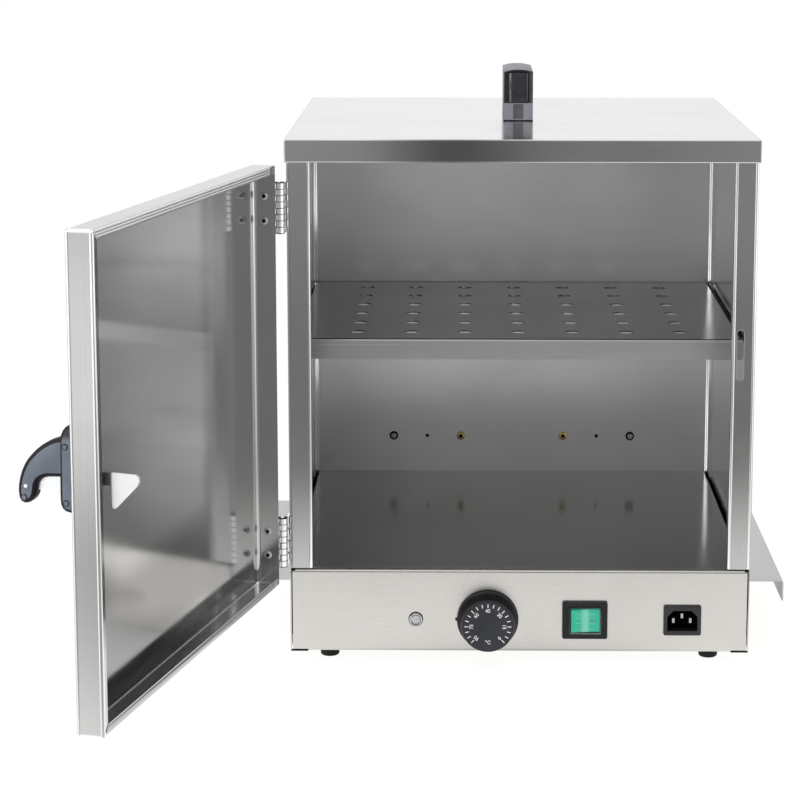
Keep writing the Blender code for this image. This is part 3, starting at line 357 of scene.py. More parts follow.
# holeDark: black for the painted shade in holes, gaps, recesses, along edges and under parts, and for the
# heater screws' dark washers
holeDark = mouldedFinish("holeDark", (0.003, 0.003, 0.003), (0.006, 0.006, 0.006), 0.6, level=0.05)
switchBlack = mouldedFinish("switchBlack", (0.009, 0.009, 0.010), (0.014, 0.014, 0.016), 0.30, level=0.28)
inletBlack = mouldedFinish("inletBlack", (0.010, 0.010, 0.011), (0.017, 0.017, 0.018), 0.36)
bodyPale = mouldedFinish("bodyPale", (0.62, 0.60, 0.55), (0.70, 0.68, 0.62), 0.45)
footRubber = mouldedFinish("footRubber", (0.006, 0.006, 0.006), (0.012, 0.012, 0.012), 0.55, level=0.2)
rockerGreen = mouldedFinish("rockerGreen", (0.010, 0.60, 0.39), (0.016, 0.67, 0.45), 0.30)
ribPale = mouldedFinish("ribPale", (0.34, 0.74, 0.62), (0.44, 0.82, 0.70), 0.4, 0.02)
ribGrey = mouldedFinish("ribGrey", (0.05, 0.22, 0.17), (0.07, 0.27, 0.21), 0.4, 0.02)
lensClear = mouldedFinish("lensClear", (0.80, 0.82, 0.84), (0.90, 0.91, 0.92), 0.12)
coverClear = mouldedFinish("coverClear", (0.93, 0.97, 0.95), (0.97, 0.99, 0.98), 0.06, 0.01, 0.0)
for glass, clear, bending in ((lensClear, 0.35, 1.46), (coverClear, 1.0, 1.25)):
    setIn(shaderOf(glass), Transmission_Weight=clear, IOR=bending)
# a satin sheet throws a little of the light about the chamber, and the liner's corner flanges are made pale
# and mostly diffuse as painted light
for satin, share in ((linerSteel, 0.88), (floorSteel, 0.88), (shelfSteel, 0.88), (doorSteel, 0.93),
                     (cornerSteel, 0.35)):
    setIn(shaderOf(satin), Metallic=share)


# another tone laid over a finish, for painted light and shade: amount makes its share, 0 to 1, from the place
# in the frame
def tintFinish(material, tone, amount):
    tree = material.node_tree
    place = addNode(tree, "ShaderNodeTexCoord").outputs["Object"]
    colour = shaderOf(material).inputs["Base Color"]
    plain = colour.links[0].from_socket
    tree.links.new(mixColour(tree, amount(tree, place), plain, tone), colour)


# stops are (distance along facing, share of the tone), and within is (direction, full, none), which keeps
# the change to one side of a plane
def shadeAlong(material, facing, stops, tone, within=None):
    first, last = stops[0][0], stops[-1][0]

    def amount(tree, place):
        run = rangeNode(tree, measure(tree, "DOT_PRODUCT", place, facing), first, last)
        share = rampNode(tree, run, [((spot - first) / (last - first), level) for spot, level in stops])
        if within:
            direction, full, none = within
            side = rangeNode(tree, measure(tree, "DOT_PRODUCT", place, direction), full, none, 1.0, 0.0)
            share = mathNode(tree, "MULTIPLY", share, side)
        return share

    tintFinish(material, tone, amount)


# painted light and shade: the grip's ends and the liner by their place in the frame, the latch's neck shadow
# from the door's lip, the lid's reflection by its width
toneLook = {
    "rockerPale": (0.30, 0.84, 0.66), "rockerHalf": 0.0046, "rockerCore": 0.25, "rockerShare": 0.85,
    "gripEndShade": (0.012, 0.013, 0.016), "gripEnds": ((0.2195, 1), (0.2245, 0), (0.2690, 0), (0.2745, 1)),
    "neckShadowTone": (0.17, 0.175, 0.165), "neck": ((-0.012, 0), (-0.009, 1), (0.0040, 1), (0.0058, 0)),
    "outer": (0.46, 0.46, 0.465), "outerFull": 0.0003, "outerNone": 0.0006,
    "lidReflectionTone": (0.19, 0.19, 0.195), "lidReflectionStops": ((0.14, 0), (0.35, 0.95), (0.60, 0)),
    "lidFace": (0.0006, 0.0012),
    "linerPaintedLight": (1.0, 1.0, 1.0), "linerFall": ((-0.128, 1), (0.0, 0.5), (0.10, 0))}


# painted light: the rocker's middle is painted paler, standing in for the glow of the lamp inside and the
# highlight on its curve
def lightRocker():
    middle, half = boxMiddle("switch_rocker")[0], toneLook["rockerHalf"]

    def amount(tree, place):
        off = mathNode(tree, "SUBTRACT", measure(tree, "DOT_PRODUCT", place, rightward), middle)
        core = half * toneLook["rockerCore"]
        share = toneLook["rockerShare"]
        return rangeNode(tree, mathNode(tree, "ABSOLUTE", off), core, half, share, 0.0, True)

    tintFinish(rockerGreen, toneLook["rockerPale"], amount)


# painted shade and reflection: the outer faces are painted darker than the bright inner ones, and the lid's
# front has a painted dark reflection
def shadeOuterFaces():
    outer, full, none = toneLook["outer"], toneLook["outerFull"], toneLook["outerNone"]
    for material, node in ((casingSteel, "casing"), (lidSteel, "lid_cover")):
        low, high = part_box(node)
        sides = ((low[0] + full, 1), (low[0] + none, 0), (high[0] - none, 0), (high[0] - full, 1))
        shadeAlong(material, rightward, sides, outer)
        shadeAlong(material, backward, ((high[1] - none, 0), (high[1] - full, 1)), outer)
    low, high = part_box("lid_cover")
    patch = [(low[0] + share * (high[0] - low[0]), level) for share, level in toneLook["lidReflectionStops"]]
    lidFace = (backward, *[low[1] + depth for depth in toneLook["lidFace"]])
    shadeAlong(lidSteel, rightward, patch, toneLook["lidReflectionTone"], lidFace)


# painted reflections, light and shade over the door, laid on in order, each with its (place, share) stops: a
# place is a height in the frame, or for the free edge and the hinge side a distance from the free edge
doorLook = {
    "skinBlend": (0.0016, 0.0020), "wallBlend": (0.002, 0.004), "slope": 0.25,
    "freeEdge": (((-0.21, 0), (-0.03, 1)), (0.98, 0.98, 0.97)),
    "paleBands": (((0.15, 0), (0.175, 0.8), (0.20, 0.8), (0.24, 0), (0.34, 0), (0.39, 1)), (0.99, 0.99, 0.98)),
    "hingeSide": (((-0.40, 1), (-0.27, 1), (-0.245, 0)), (0.58, 0.58, 0.585)),
    "lowBand": (((0.0690, 0), (0.085, 0), (0.10, 0.9), (0.14, 0.9), (0.17, 0)), (0.52, 0.52, 0.515)),
    "lowCorner": (((0.118, 1), (0.158, 0)), (0.27, 0.27, 0.27)),
    "wallFoot": (((0.07, 1), (0.22, 0)), (0.74, 0.74, 0.74)),
    "bottomWall": (((0.0682, 1), (0.0690, 0)), (0.82, 0.82, 0.82))}


def shadeDoor():
    slope, (near, far) = doorLook["slope"], doorLook["wallBlend"]
    onSkin = (doorOut, *[doorSkin + depth for depth in doorLook["skinBlend"]])
    onFreeWall = (-doorAlong, near - doorFree, far - doorFree)
    offFreeWall = (doorAlong, doorFree - far, doorFree - near)
    for key, facing, start, within in (
            ("freeEdge", doorAlong, doorFree, onSkin), ("paleBands", upward, 0, onSkin),
            ("hingeSide", doorAlong, doorFree, onSkin), ("lowBand", upward, 0, offFreeWall),
            ("lowCorner", upward - doorAlong * slope, -slope * doorFree, onSkin),
            ("wallFoot", upward, 0, onFreeWall), ("bottomWall", upward, 0, offFreeWall)):
        stops, tone = doorLook[key]
        shadeAlong(doorSteel, facing, [(start + spot, share) for spot, share in stops], tone, within)
    # painted shade: the door's outside face darker, like the other outer faces
    skin = ((doorSkin + toneLook["outerFull"], 1), (doorSkin + toneLook["outerNone"], 0))
    shadeAlong(doorSteel, doorOut, skin, toneLook["outer"])


lightRocker()
# painted shade: the grip's sides darkened towards their top and bottom ends
shadeAlong(gripMattPaintedSheen, upward, toneLook["gripEnds"], toneLook["gripEndShade"])
# painted shadow: the latch plate's neck darkened near the door's lip, where it lies in the slot
neck = [(doorLip + reach, share) for reach, share in toneLook["neck"]]
shadeAlong(latchSteel, doorOut, neck, toneLook["neckShadowTone"])
shadeOuterFaces()
shadeDoor()
# painted light: the liner paler towards its left side
shadeAlong(linerSteel, rightward, toneLook["linerFall"], toneLook["linerPaintedLight"])

finishes = {
    "casing": casingSteel, "rear_cover": rearSteel, "lid_cover": lidSteel, "control_panel": panelSteel,
    "bottom_plate": baseSteel, "chamber_floor": floorSteel, "rear_liner": linerSteel, "shelf": shelfSteel,
    "shelf_runner_left": shelfSteel, "shelf_runner_right": shelfSteel, "door_pan": doorSteel,
    "side_grip_left": gripSteel, "side_grip_right": gripSteel, "latch_lever": latchSteel,
    "latch_pin": latchSteel, "thermostat_shaft": screwSteel, "thermostat_body": bodyPale,
    "indicator_bezel": lampChrome, "indicator_lens": lensClear, "heater_left": heaterAlloy,
    "heater_right": heaterAlloy, "top_handle": handleBlack, "handle_housing": gripBlack,
    "dial_knob": dialBlack, "dial_bezel": dialBlack, "switch_frame": switchBlack,
    "switch_cover": coverClear, "switch_rocker": rockerGreen, "power_inlet": inletBlack,
    "heater_screw_left_inner": screwBrass, "heater_screw_right_inner": screwBrass,
}
startsWith = (("hinge_", hingeSteel), ("top_handle_screw", screwSteel), ("foot_", footRubber),
              ("inlet_blade", bladeNickel), ("heater_screw", screwSteel))
for name, part in nodes.items():
    byStart = [material for start, material in startsWith if name.startswith(start)]
    part.data.materials.clear()
    part.data.materials.append(finishes[name] if name in finishes else byStart[0])
print("finishes placed")


# modelling helpers: every piece is shaped with the ordinary tools and ends at the origin
def objectMode():
    bpy.ops.object.mode_set(mode="OBJECT")


def clearSelection():
    if bpy.context.object and bpy.context.object.mode != "OBJECT":
        objectMode()
    bpy.ops.object.select_all(action="DESELECT")


def pick(piece):
    clearSelection()
    piece.select_set(True)
    bpy.context.view_layer.objects.active = piece


def editMode(piece):  # with all of its mesh selected
    pick(piece)
    bpy.ops.object.mode_set(mode="EDIT")
    bpy.ops.mesh.select_all(action="SELECT")


def applyPlace(piece):
    pick(piece)
    bpy.ops.object.transform_apply(location=True, rotation=True, scale=True)


def addModifier(piece, kind, **values):
    pick(piece)
    modifier = piece.modifiers.new(kind.lower(), kind)
    for key, value in values.items():
        setattr(modifier, key, value)
    bpy.ops.object.modifier_apply(modifier=modifier.name)


def softenEdges(piece, width, segments, angle=None, **values):  # where an angle is given, it is the least
    if angle is not None:
        values.update(limit_method="ANGLE", angle_limit=angle)
    addModifier(piece, "BEVEL", width=width, segments=segments, **values)


def selectIn(piece, kind, test):  # the faces or edges that pass the test, in edit mode
    pick(piece)
    bpy.ops.object.mode_set(mode="EDIT")
    bpy.ops.mesh.select_mode(type=kind)
    bpy.ops.mesh.select_all(action="DESELECT")
    objectMode()
    for part in piece.data.polygons if kind == "FACE" else piece.data.edges:
        part.select = test(part)
    bpy.ops.object.mode_set(mode="EDIT")


def paintFaces(piece, material, test):
    piece.data.materials.append(material)
    index = len(piece.data.materials) - 1
    for face in piece.data.polygons:
        if test(face):
            face.material_index = index


def offAxis(face, place, axis):  # how far the face's middle lies from the axis through place
    return (face.center - Vector(place)).cross(axis).length


def finishPiece(piece, body, replaced=(), smooth=32):
    applyPlace(piece)
    bpy.ops.object.shade_smooth_by_angle(angle=math.radians(smooth))
    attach(piece, body)
    if replaced:
        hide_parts(*replaced)


def closeMesh(piece, material):  # leaves edit mode with the faces turned outwards
    bpy.ops.mesh.select_all(action="SELECT")
    bpy.ops.mesh.normals_make_consistent(inside=False)
    objectMode()
    piece.data.materials.append(material)


def newDisc(name, sides, radius):
    clearSelection()
    bpy.ops.mesh.primitive_circle_add(vertices=sides, radius=radius, fill_type="NGON", location=(0, 0, 0))
    piece = bpy.context.object
    piece.name = name
    return piece


# a turned piece: a disc drawn out step by step, (radius, reach) along its facing
def turned(name, place, facing, profile, material, sides=64):
    radius, reach = profile[0]
    piece = newDisc(name, sides, radius)
    bpy.ops.object.mode_set(mode="EDIT")
    bpy.ops.mesh.select_all(action="SELECT")
    bpy.ops.transform.translate(value=(0, 0, reach))
    for nextRadius, nextReach in profile[1:]:
        bpy.ops.mesh.extrude_region_move(TRANSFORM_OT_translate={"value": (0, 0, nextReach - reach)})
        grow = nextRadius / radius
        bpy.ops.transform.resize(value=(grow, grow, 1), center_override=(0, 0, nextReach))
        radius, reach = nextRadius, nextReach
    closeMesh(piece, material)
    piece.rotation_euler = Vector(facing).to_track_quat("Z", "Y").to_euler()
    piece.location = place
    applyPlace(piece)
    return piece


# a flat outline drawn point by point and pulled out by depth
def outlined(name, points, depth, material):
    piece = newDisc(name, len(points), 0.01)
    for point, place in zip(piece.data.vertices, points):
        point.co = place
    bpy.ops.object.mode_set(mode="EDIT")
    bpy.ops.mesh.select_all(action="SELECT")
    bpy.ops.mesh.extrude_region_move(TRANSFORM_OT_translate={"value": depth})
    closeMesh(piece, material)
    return piece


def mergeFlat(piece, **values):  # doubles merged and flat faces joined
    editMode(piece)
    bpy.ops.mesh.remove_doubles(threshold=0.00002)
    bpy.ops.mesh.dissolve_limited(angle_limit=math.radians(0.8), **values)
    objectMode()


# a CAD solid taken over with its corners rounded as the real part's are
def dressed(node, name, width, material, segments=3, angle=35):
    piece = bpy.data.objects.new(name, nodes[node].data.copy())
    scene.collection.objects.link(piece)
    pick(piece)
    bpy.ops.mesh.customdata_custom_splitnormals_clear()
    mergeFlat(piece)
    piece.data.materials.clear()
    piece.data.materials.append(material)
    if width:
        softenEdges(piece, width, segments, math.radians(angle), miter_outer="MITER_ARC")
    return piece


def boxPiece(name, low, high, material):
    clearSelection()
    middle = [(a + b) / 2 for a, b in zip(low, high)]
    bpy.ops.mesh.primitive_cube_add(size=1.0, location=middle)
    piece = bpy.context.object
    piece.name = name
    piece.scale = [b - a for a, b in zip(low, high)]
    applyPlace(piece)
    piece.data.materials.append(material)
    return piece


def joinPieces(name, parts):
    clearSelection()
    for part in parts:
        part.select_set(True)
    bpy.context.view_layer.objects.active = parts[0]
    bpy.ops.object.join()
    parts[0].name = name
    return parts[0]


def combine(piece, other, operation):  # the other piece is used up
    addModifier(piece, "BOOLEAN", operation=operation, object=other, solver="EXACT")
    clearSelection()
    other.select_set(True)
    bpy.ops.object.delete()


def cutAway(piece, cutter):
    combine(piece, cutter, "DIFFERENCE")


# thermostat dial: a turned knob with a printed scale, 0 at the lower right and 90 at the lower left
dialLook = {
    "sides": 128, "face": 0.0187, "wall": (0.0032, 0.0166),
    "profile": [(0.0249, 0.0), (0.0249, 0.0019), (0.0247, 0.0023), (0.0242, 0.0026), (0.0240, 0.0031),
                (0.0239, 0.0046), (0.0231, 0.0070), (0.0219, 0.0165), (0.0216, 0.0180), (0.0211, 0.0187),
                (0.0206, 0.0189), (0.0202, 0.0189), (0.0200, 0.0187)],
    "ticks": 19, "firstTick": 135, "tickTurn": 15, "tickWorth": 5, "numberEvery": 3,
    "tickIn": 0.0162, "tickOut": 0.0193, "tickWide": 0.00078, "tickLonger": 0.0002, "tickEdge": 0.00002,
    "numberAt": 0.0134, "numberSize": 0.0043, "numberBold": 0.00006, "print": 0.00006}


def dialWord(words, x, face, z, angle, lean):
    clearSelection()
    bpy.ops.object.text_add()
    text = bpy.context.object
    text.data.body = words
    text.data.size = dialLook["numberSize"]
    text.data.align_x = "CENTER"
    text.data.align_y = "CENTER"
    text.data.extrude = dialLook["print"] / 2
    text.data.resolution_u = 3
    text.data.offset = dialLook["numberBold"]
    bpy.ops.object.convert(target="MESH")
    word = bpy.context.object
    word.data.materials.clear()
    word.data.materials.append(scaleWhite)
    word.rotation_euler = (math.pi / 2, 0, 0)
    applyPlace(word)
    word.rotation_euler = (0, lean, 0)
    reach = dialLook["numberAt"]
    word.location = (x + math.sin(angle) * reach, face - dialLook["print"] / 2, z + math.cos(angle) * reach)
    applyPlace(word)
    return word


def dialTick(x, face, z, angle, inner):
    half, thick = dialLook["tickWide"] / 2, dialLook["print"]
    tick = boxPiece("tick", (-half, 0, inner), (half, thick, dialLook["tickOut"]), scaleWhite)
    softenEdges(tick, dialLook["tickEdge"], 1)
    tick.rotation_euler = (0, angle, 0)
    tick.location = (x, face - thick, z)
    applyPlace(tick)
    return tick


def makeDial():
    x, _, z = boxMiddle("dial_knob")
    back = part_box("dial_knob")[1][1]
    knob = turned("dialKnob", (x, back, z), front, dialLook["profile"], dialBlack, dialLook["sides"])
    face = back - dialLook["face"]
    wallLow, wallHigh = dialLook["wall"]
    paintFaces(knob, dialFace, lambda f: f.center[1] < face + 0.0001 and f.normal[1] < -0.9)
    # painted shade: the knob's side wall in a darker, duller black
    paintFaces(knob, dialSideShade, lambda f: wallLow < back - f.center[1] < wallHigh and abs(f.normal[1]) < 0.5)
    finishPiece(knob, "dial", ["dial_knob"], 24)
    marks = []
    for step in range(dialLook["ticks"]):
        angle = math.radians(dialLook["firstTick"] - dialLook["tickTurn"] * step)
        numbered = step % dialLook["numberEvery"] == 0
        longer = dialLook["tickLonger"] if numbered else 0.0
        marks.append(dialTick(x, face, z, angle, dialLook["tickIn"] - longer))
        if numbered:
            marks.append(dialWord(str(step * dialLook["tickWorth"]), x, face, z, angle, angle))
    marks.append(dialWord("°C", x, face, z, math.pi, 0.0))
    finishPiece(joinPieces("dialScale", marks), "dial", smooth=20)


makeDial()
print("dial made")

# pilot lamp: turned ring with its outer edge painted dark as the shadow gap round it, and a domed lens
lampLook = {
    "ring": [(0.00605, -0.004), (0.00605, 0.0007), (0.0059, 0.0012), (0.0054, 0.0017), (0.0049, 0.0019),
             (0.0044, 0.0018), (0.0041, 0.0014), (0.0040, 0.0004)],
    "lens": [(0.0037, 0.0005), (0.0037, 0.0020), (0.0035, 0.0026), (0.0029, 0.0031), (0.0020, 0.0034),
             (0.0009, 0.0035)],
    "shadeFrom": 0.0056, "ringSides": 72, "lensSides": 48}


def makePilotLamp():
    x, _, z = boxMiddle("indicator_bezel")
    place = (x, frontOf("control_panel"), z)
    ring = turned("lampRing", place, front, lampLook["ring"], lampChrome, lampLook["ringSides"])
    paintFaces(ring, holeDark, lambda f: offAxis(f, place, front) > lampLook["shadeFrom"])
    finishPiece(ring, "cabinet", ["indicator_bezel"])
    lens = turned("lampLens", place, front, lampLook["lens"], lensClear, lampLook["lensSides"])
    finishPiece(lens, "cabinet", ["indicator_lens"])


makePilotLamp()

# rocker switch: a soft clear hood over the lit rocker, with moulded ribs and a sign
switchLook = {
    "wall": 0.0007, "taper": (0.93, 1, 0.91), "edge": 0.00132, "edgeAngle": 0.6, "mark": 0.00012,
    "ribRises": (0.0068, 0.0034, -0.0006, -0.0060), "ribFrom": 0.0034, "ribLong": ((-1, 0.0040), (1, 0.0046)),
    "ribHalf": 0.00016, "ribDeep": 0.0002, "ribEdge": 0.00005,
    "signRadius": 0.0017, "signWire": 0.00028, "signPlace": (0.0062, 0.0003, 0.0010)}


def makeHood():
    low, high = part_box("switch_cover")
    hood = boxPiece("switchHood", low, high, coverClear)
    selectIn(hood, "FACE", lambda f: f.normal[1] < -0.9)
    bpy.ops.transform.resize(value=switchLook["taper"], center_override=boxMiddle("switch_cover"))
    objectMode()
    softenEdges(hood, switchLook["edge"], 4, switchLook["edgeAngle"])
    selectIn(hood, "FACE", lambda f: f.normal[1] > 0.9)
    bpy.ops.mesh.delete(type="FACE")
    objectMode()
    addModifier(hood, "SOLIDIFY", thickness=switchLook["wall"], offset=-1.0)
    finishPiece(hood, "cabinet", ["switch_cover"], 40)


def makeHoodRibs():
    x, _, z = boxMiddle("switch_cover")
    behind = frontOf("switch_cover") + switchLook["wall"] + switchLook["mark"]
    start, half = switchLook["ribFrom"], switchLook["ribHalf"]
    ribs = []
    for rise in switchLook["ribRises"]:
        for side, wide in switchLook["ribLong"]:
            near, far = span(x, side, start, start + wide)
            rib = boxPiece("rib", (near, behind, z + rise - half),
                           (far, behind + switchLook["ribDeep"], z + rise + half), ribPale)
            softenEdges(rib, switchLook["ribEdge"], 1)
            ribs.append(rib)
    clearSelection()
    bpy.ops.mesh.primitive_torus_add(
        major_radius=switchLook["signRadius"], minor_radius=switchLook["signWire"], major_segments=32,
        minor_segments=8, location=Vector((x, behind, z)) + Vector(switchLook["signPlace"]),
        rotation=(math.pi / 2, 0, 0))
    sign = bpy.context.object
    sign.data.materials.append(ribGrey)
    applyPlace(sign)
    finishPiece(joinPieces("hoodRibs", ribs + [sign]), "cabinet", smooth=30)


makeHood()
makeHoodRibs()
print("lamp and switch made")

# bow handle: pillars and grip in a matt skin painted lighter as sheen, with glossy pads in the pockets of both
# ends and dark soles painted as the contact shadow under them
handleLook = {
    "grip": 0.0135, "pillar": 0.0168, "crown": 0.0019, "rim": 0.0005, "taper": (1, 0.985, 1),
    "gapRound": 0.004, "gapAngle": 0.6, "edge": 0.0004, "cutPast": 0.006, "pocket": 0.0032,
    "pocketLow": 0.0150, "pocketHigh": 0.0012, "blackDeep": 0.0055, "shadeDeep": 0.003,
    "column": 0.0044, "columnDeep": 0.0007, "columnLow": 0.0012, "columnHigh": 0.0008,
    "padSide": 0.0032, "padRound": 0.0042, "padIn": 0.0006, "padLow": 0.0007, "padHigh": 0.0029,
    "padEdge": 0.0005, "padAngle": 0.9, "padSteps": 8,
    "soleProud": 0.0001, "soleShort": 0.0004, "soleLow": 0.0003, "soleHigh": 0.0006, "soleEdge": 0.0002}


def crownTop(piece, x, half, top):  # the arched top edge across the grip
    editMode(piece)
    bpy.ops.mesh.subdivide(number_cuts=7)
    objectMode()
    for point in piece.data.vertices:
        if point.co.z > top - 0.0001:
            point.co.z = top - handleLook["crown"] * ((point.co.x - x) / half) ** 2


def makeHandle():
    low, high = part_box("top_handle")
    x, half = (low[0] + high[0]) / 2, (high[0] - low[0]) / 2
    y0, y1, z0, z1 = low[1], high[1], low[2], high[2]
    rim, column, columnDeep = (handleLook[key] for key in ("rim", "column", "columnDeep"))
    pocketLow, pocketTop = z0 + handleLook["pocketLow"], z1 - handleLook["pocketHigh"]
    handle = boxPiece("bowHandle", low, high, handleMattPaintedSheen)
    selectIn(handle, "FACE", lambda f: f.normal[2] > 0.9)
    bpy.ops.transform.resize(value=handleLook["taper"], center_override=(x, (y0 + y1) / 2, z1))
    objectMode()
    crownTop(handle, x, half, z1)
    editMode(handle)
    bpy.ops.mesh.bisect(plane_co=(x, y0, pocketLow), plane_no=(0, 0, 1))
    objectMode()
    gap = boxPiece("gap", (low[0] - 0.01, y0 + handleLook["pillar"], z0 - 0.01),
                   (high[0] + 0.01, y1 - handleLook["pillar"], z1 - handleLook["grip"]), handleMattPaintedSheen)
    softenEdges(gap, handleLook["gapRound"], 4, handleLook["gapAngle"])
    cutAway(handle, gap)
    for edge, way in ((y0, 1), (y1, -1)):
        near, far = span(edge, way, -handleLook["cutPast"], handleLook["pocket"])
        pocket = boxPiece("pocket", (x - half + rim, near, pocketLow), (x + half - rim, far, pocketTop),
                          handleBlack)
        crownTop(pocket, x, half, pocketTop)
        cutAway(handle, pocket)
        near, far = span(edge, way, -handleLook["cutPast"], columnDeep)
        groove = boxPiece("column", (x - column, near, z0 + handleLook["columnLow"]),
                          (x + column, far, pocketLow - handleLook["columnHigh"]), handleMattPaintedSheen)
        cutAway(handle, groove)

    def inside(f):
        return min(f.center[1] - y0, y1 - f.center[1])

    def inPocket(f):
        return (inside(f) < handleLook["blackDeep"] and f.center[2] > pocketLow - 0.00001 and f.normal[2] < 0.6
                and abs(f.center[0] - x) < half - 0.0001)

    def inColumn(f):
        return (columnDeep * 0.8 < inside(f) < handleLook["shadeDeep"] and f.center[2] < pocketLow - 0.0006
                and abs(f.center[0] - x) < column + 0.0002 and abs(f.normal[2]) < 0.9)

    paintFaces(handle, handleBlack, inPocket)
    paintFaces(handle, handleShade, inColumn)
    mergeFlat(handle, delimit={"MATERIAL"})
    softenEdges(handle, handleLook["edge"], 2, math.radians(40))
    finishPiece(handle, "cabinet", ["top_handle"])


def makeHandleEnds():
    low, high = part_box("top_handle")
    x, half = (low[0] + high[0]) / 2, (high[0] - low[0]) / 2
    foot, padLow = low[2], low[2] + handleLook["pocketLow"] + handleLook["padLow"]
    wide, roundX, roundY = half - handleLook["padSide"], handleLook["padRound"], handleLook["pocket"]
    turns = [math.pi / 2 * step / handleLook["padSteps"] for step in range(handleLook["padSteps"] + 1)]
    arc = [(wide - roundX * (1 - math.cos(turn)), handleLook["padIn"] + roundY * (1 - math.sin(turn)))
           for turn in turns]
    proud = handleLook["soleProud"]
    for edge, way, name in ((low[1], 1, "Front"), (high[1], -1, "Rear")):
        points = [Vector((x + across, edge + way * inward, padLow)) for across, inward in arc]
        points += [Vector((x - across, edge + way * inward, padLow)) for across, inward in arc[::-1]]
        rise = (0, 0, high[2] - handleLook["padHigh"] - padLow)
        pad = outlined("handlePad" + name, points, rise, handleBlack)
        softenEdges(pad, handleLook["padEdge"], 2, handleLook["padAngle"])
        finishPiece(pad, "cabinet", smooth=40)
        near, far = span(edge, way, -proud, handleLook["pillar"] - handleLook["soleShort"])
        # painted shadow: a dark sole along the foot of each pillar
        sole = boxPiece("handleShadowSole" + name, (x - half - proud, near, foot - handleLook["soleLow"]),
                        (x + half + proud, far, foot + handleLook["soleHigh"]), holeDark)
        softenEdges(sole, handleLook["soleEdge"], 2)
        finishPiece(sole, "cabinet")


makeHandle()
makeHandleEnds()
print("handle made")

# door grip: base plate and hooked bow with full edges, slotted for the latch plate; outlines in mm out from
# the door and up, half widths in mm to each side of the latch pin
gripLook = {
    "plate": [(0, 47.5), (0, -13.4), (3.4, -13.2), (6.8, -12.4), (9, -10.4), (10.2, -7.6), (10.5, -4.4),
              (10.2, 36), (9.4, 39.6), (7.8, 43.2), (5.8, 45.8), (3.4, 47.2)],
    "bow": [(4, 38.6), (10, 38.2), (14.3, 37.1), (18.7, 35.2), (23.1, 32.5), (27.5, 29.1), (31, 25.5),
            (33.8, 22.4), (36.4, 18.3), (38.4, 14), (40, 9.1), (41, 4.1), (41.3, -0.8), (40.8, -4.9),
            (39.2, -7.6), (36.6, -8.7), (33.6, -8.2), (30.5, -6), (28.5, -2.7), (27.8, 1.5), (27.2, 5),
            (25.6, 7.6), (23, 9.5), (19.4, 10.6), (10.3, 11), (4, 11)],
    "room": [(38.3, 2.5), (38.3, 5.1), (37, 6.8), (33, 10), (26, 15.5), (16, 21.5), (8, 25), (-5, 29.5),
             (-5, 0), (5, -1.5), (9.5, -4), (29.5, -3.6), (32.5, 0.6), (35, 0.5), (37, 0.9)],
    "pin": (35.2, 3.7), "plateHalf": 6.0, "bowHalf": 5.6, "roomHalf": 1.6, "flatFrom": 3,
    "plateEdge": 0.0021, "bowEdge": 0.0029, "latchEdge": 0.0002,
    "bosses": [(5.9, 32.4, 6.0), (5.9, -6.4, 6.0), (36.4, -4.2, 5.6)],
    "boss": [(0.0022, -0.001), (0.0022, 0.0002), (0.0019, 0.0006), (0.0017, 0.0006), (0.0015, 0.0004),
             (0.0006, 0.0004)], "bossFace": 0.00165}
mm = 0.001


def onGrip(out, up, along):
    pinOut, pinUp = gripLook["pin"]
    pin = Vector(boxMiddle("latch_pin"))
    return pin + doorOut * ((pinOut - out) * mm) + upward * ((up - pinUp) * mm) + doorAlong * (along * mm)


def gripSolid(name, half):
    points = [onGrip(out, up, -half) for out, up in gripLook[name]]
    return outlined(name, points, doorAlong * (2 * half * mm), gripBlack)


def gripBody(name):  # both rims are rounded, apart from the side that lies on the door
    half = gripLook[name + "Half"]
    body = gripSolid(name, half)
    inner = onGrip(gripLook["flatFrom"], 0, 0).dot(doorOut)
    middle = boxMiddle("latch_pin")

    def onRim(line):
        ends = [body.data.vertices[index].co for index in line.vertices]
        sides = [(end - Vector(middle)).dot(doorAlong) for end in ends]
        return abs(sum(sides)) > half * mm * 5 / 3 and min(end.dot(doorOut) for end in ends) < inner

    selectIn(body, "EDGE", onRim)
    bpy.ops.mesh.bevel(offset=gripLook[name + "Edge"], segments=4, affect="EDGES", clamp_overlap=True)
    objectMode()
    return body


def makeGrip():
    grip = gripBody("plate")
    combine(grip, gripBody("bow"), "UNION")
    cutAway(grip, gripSolid("room", gripLook["roomHalf"]))
    grip.name = "gripBow"
    # the flat sides are painted lighter than the black rims: painted sheen on the matt skin
    paintFaces(grip, gripMattPaintedSheen, lambda f: abs(f.normal.dot(doorAlong)) > 0.99)
    finishPiece(grip, "door", ["handle_housing"], 40)
    bosses = []
    for out, up, along in gripLook["bosses"]:
        place = onGrip(out, up, along)
        boss = turned("boss", place, doorAlong, gripLook["boss"], gripBlack, 32)
        paintFaces(boss, gripMattPaintedSheen, lambda f: offAxis(f, place, doorAlong) < gripLook["bossFace"])
        bosses.append(boss)
    finishPiece(joinPieces("gripBosses", bosses), "door")
    plate = dressed("latch_lever", "latchPlate", gripLook["latchEdge"], latchSteel, 1)
    finishPiece(plate, "latch", ["latch_lever"], 15)


makeGrip()
print("grip made")

# hinges: leaves with their edges painted dark as shade, and knuckles with dark parting lines painted as the
# shade in their gaps
hingeLook = {"edge": 0.00025, "edgeAngle": 40, "knuckles": 8, "knuckle": 0.00426, "parting": 0.0006,
             "ring": ((0.97, -1), (1, -0.8), (1, 0.8), (0.97, 1)), "sides": 40}


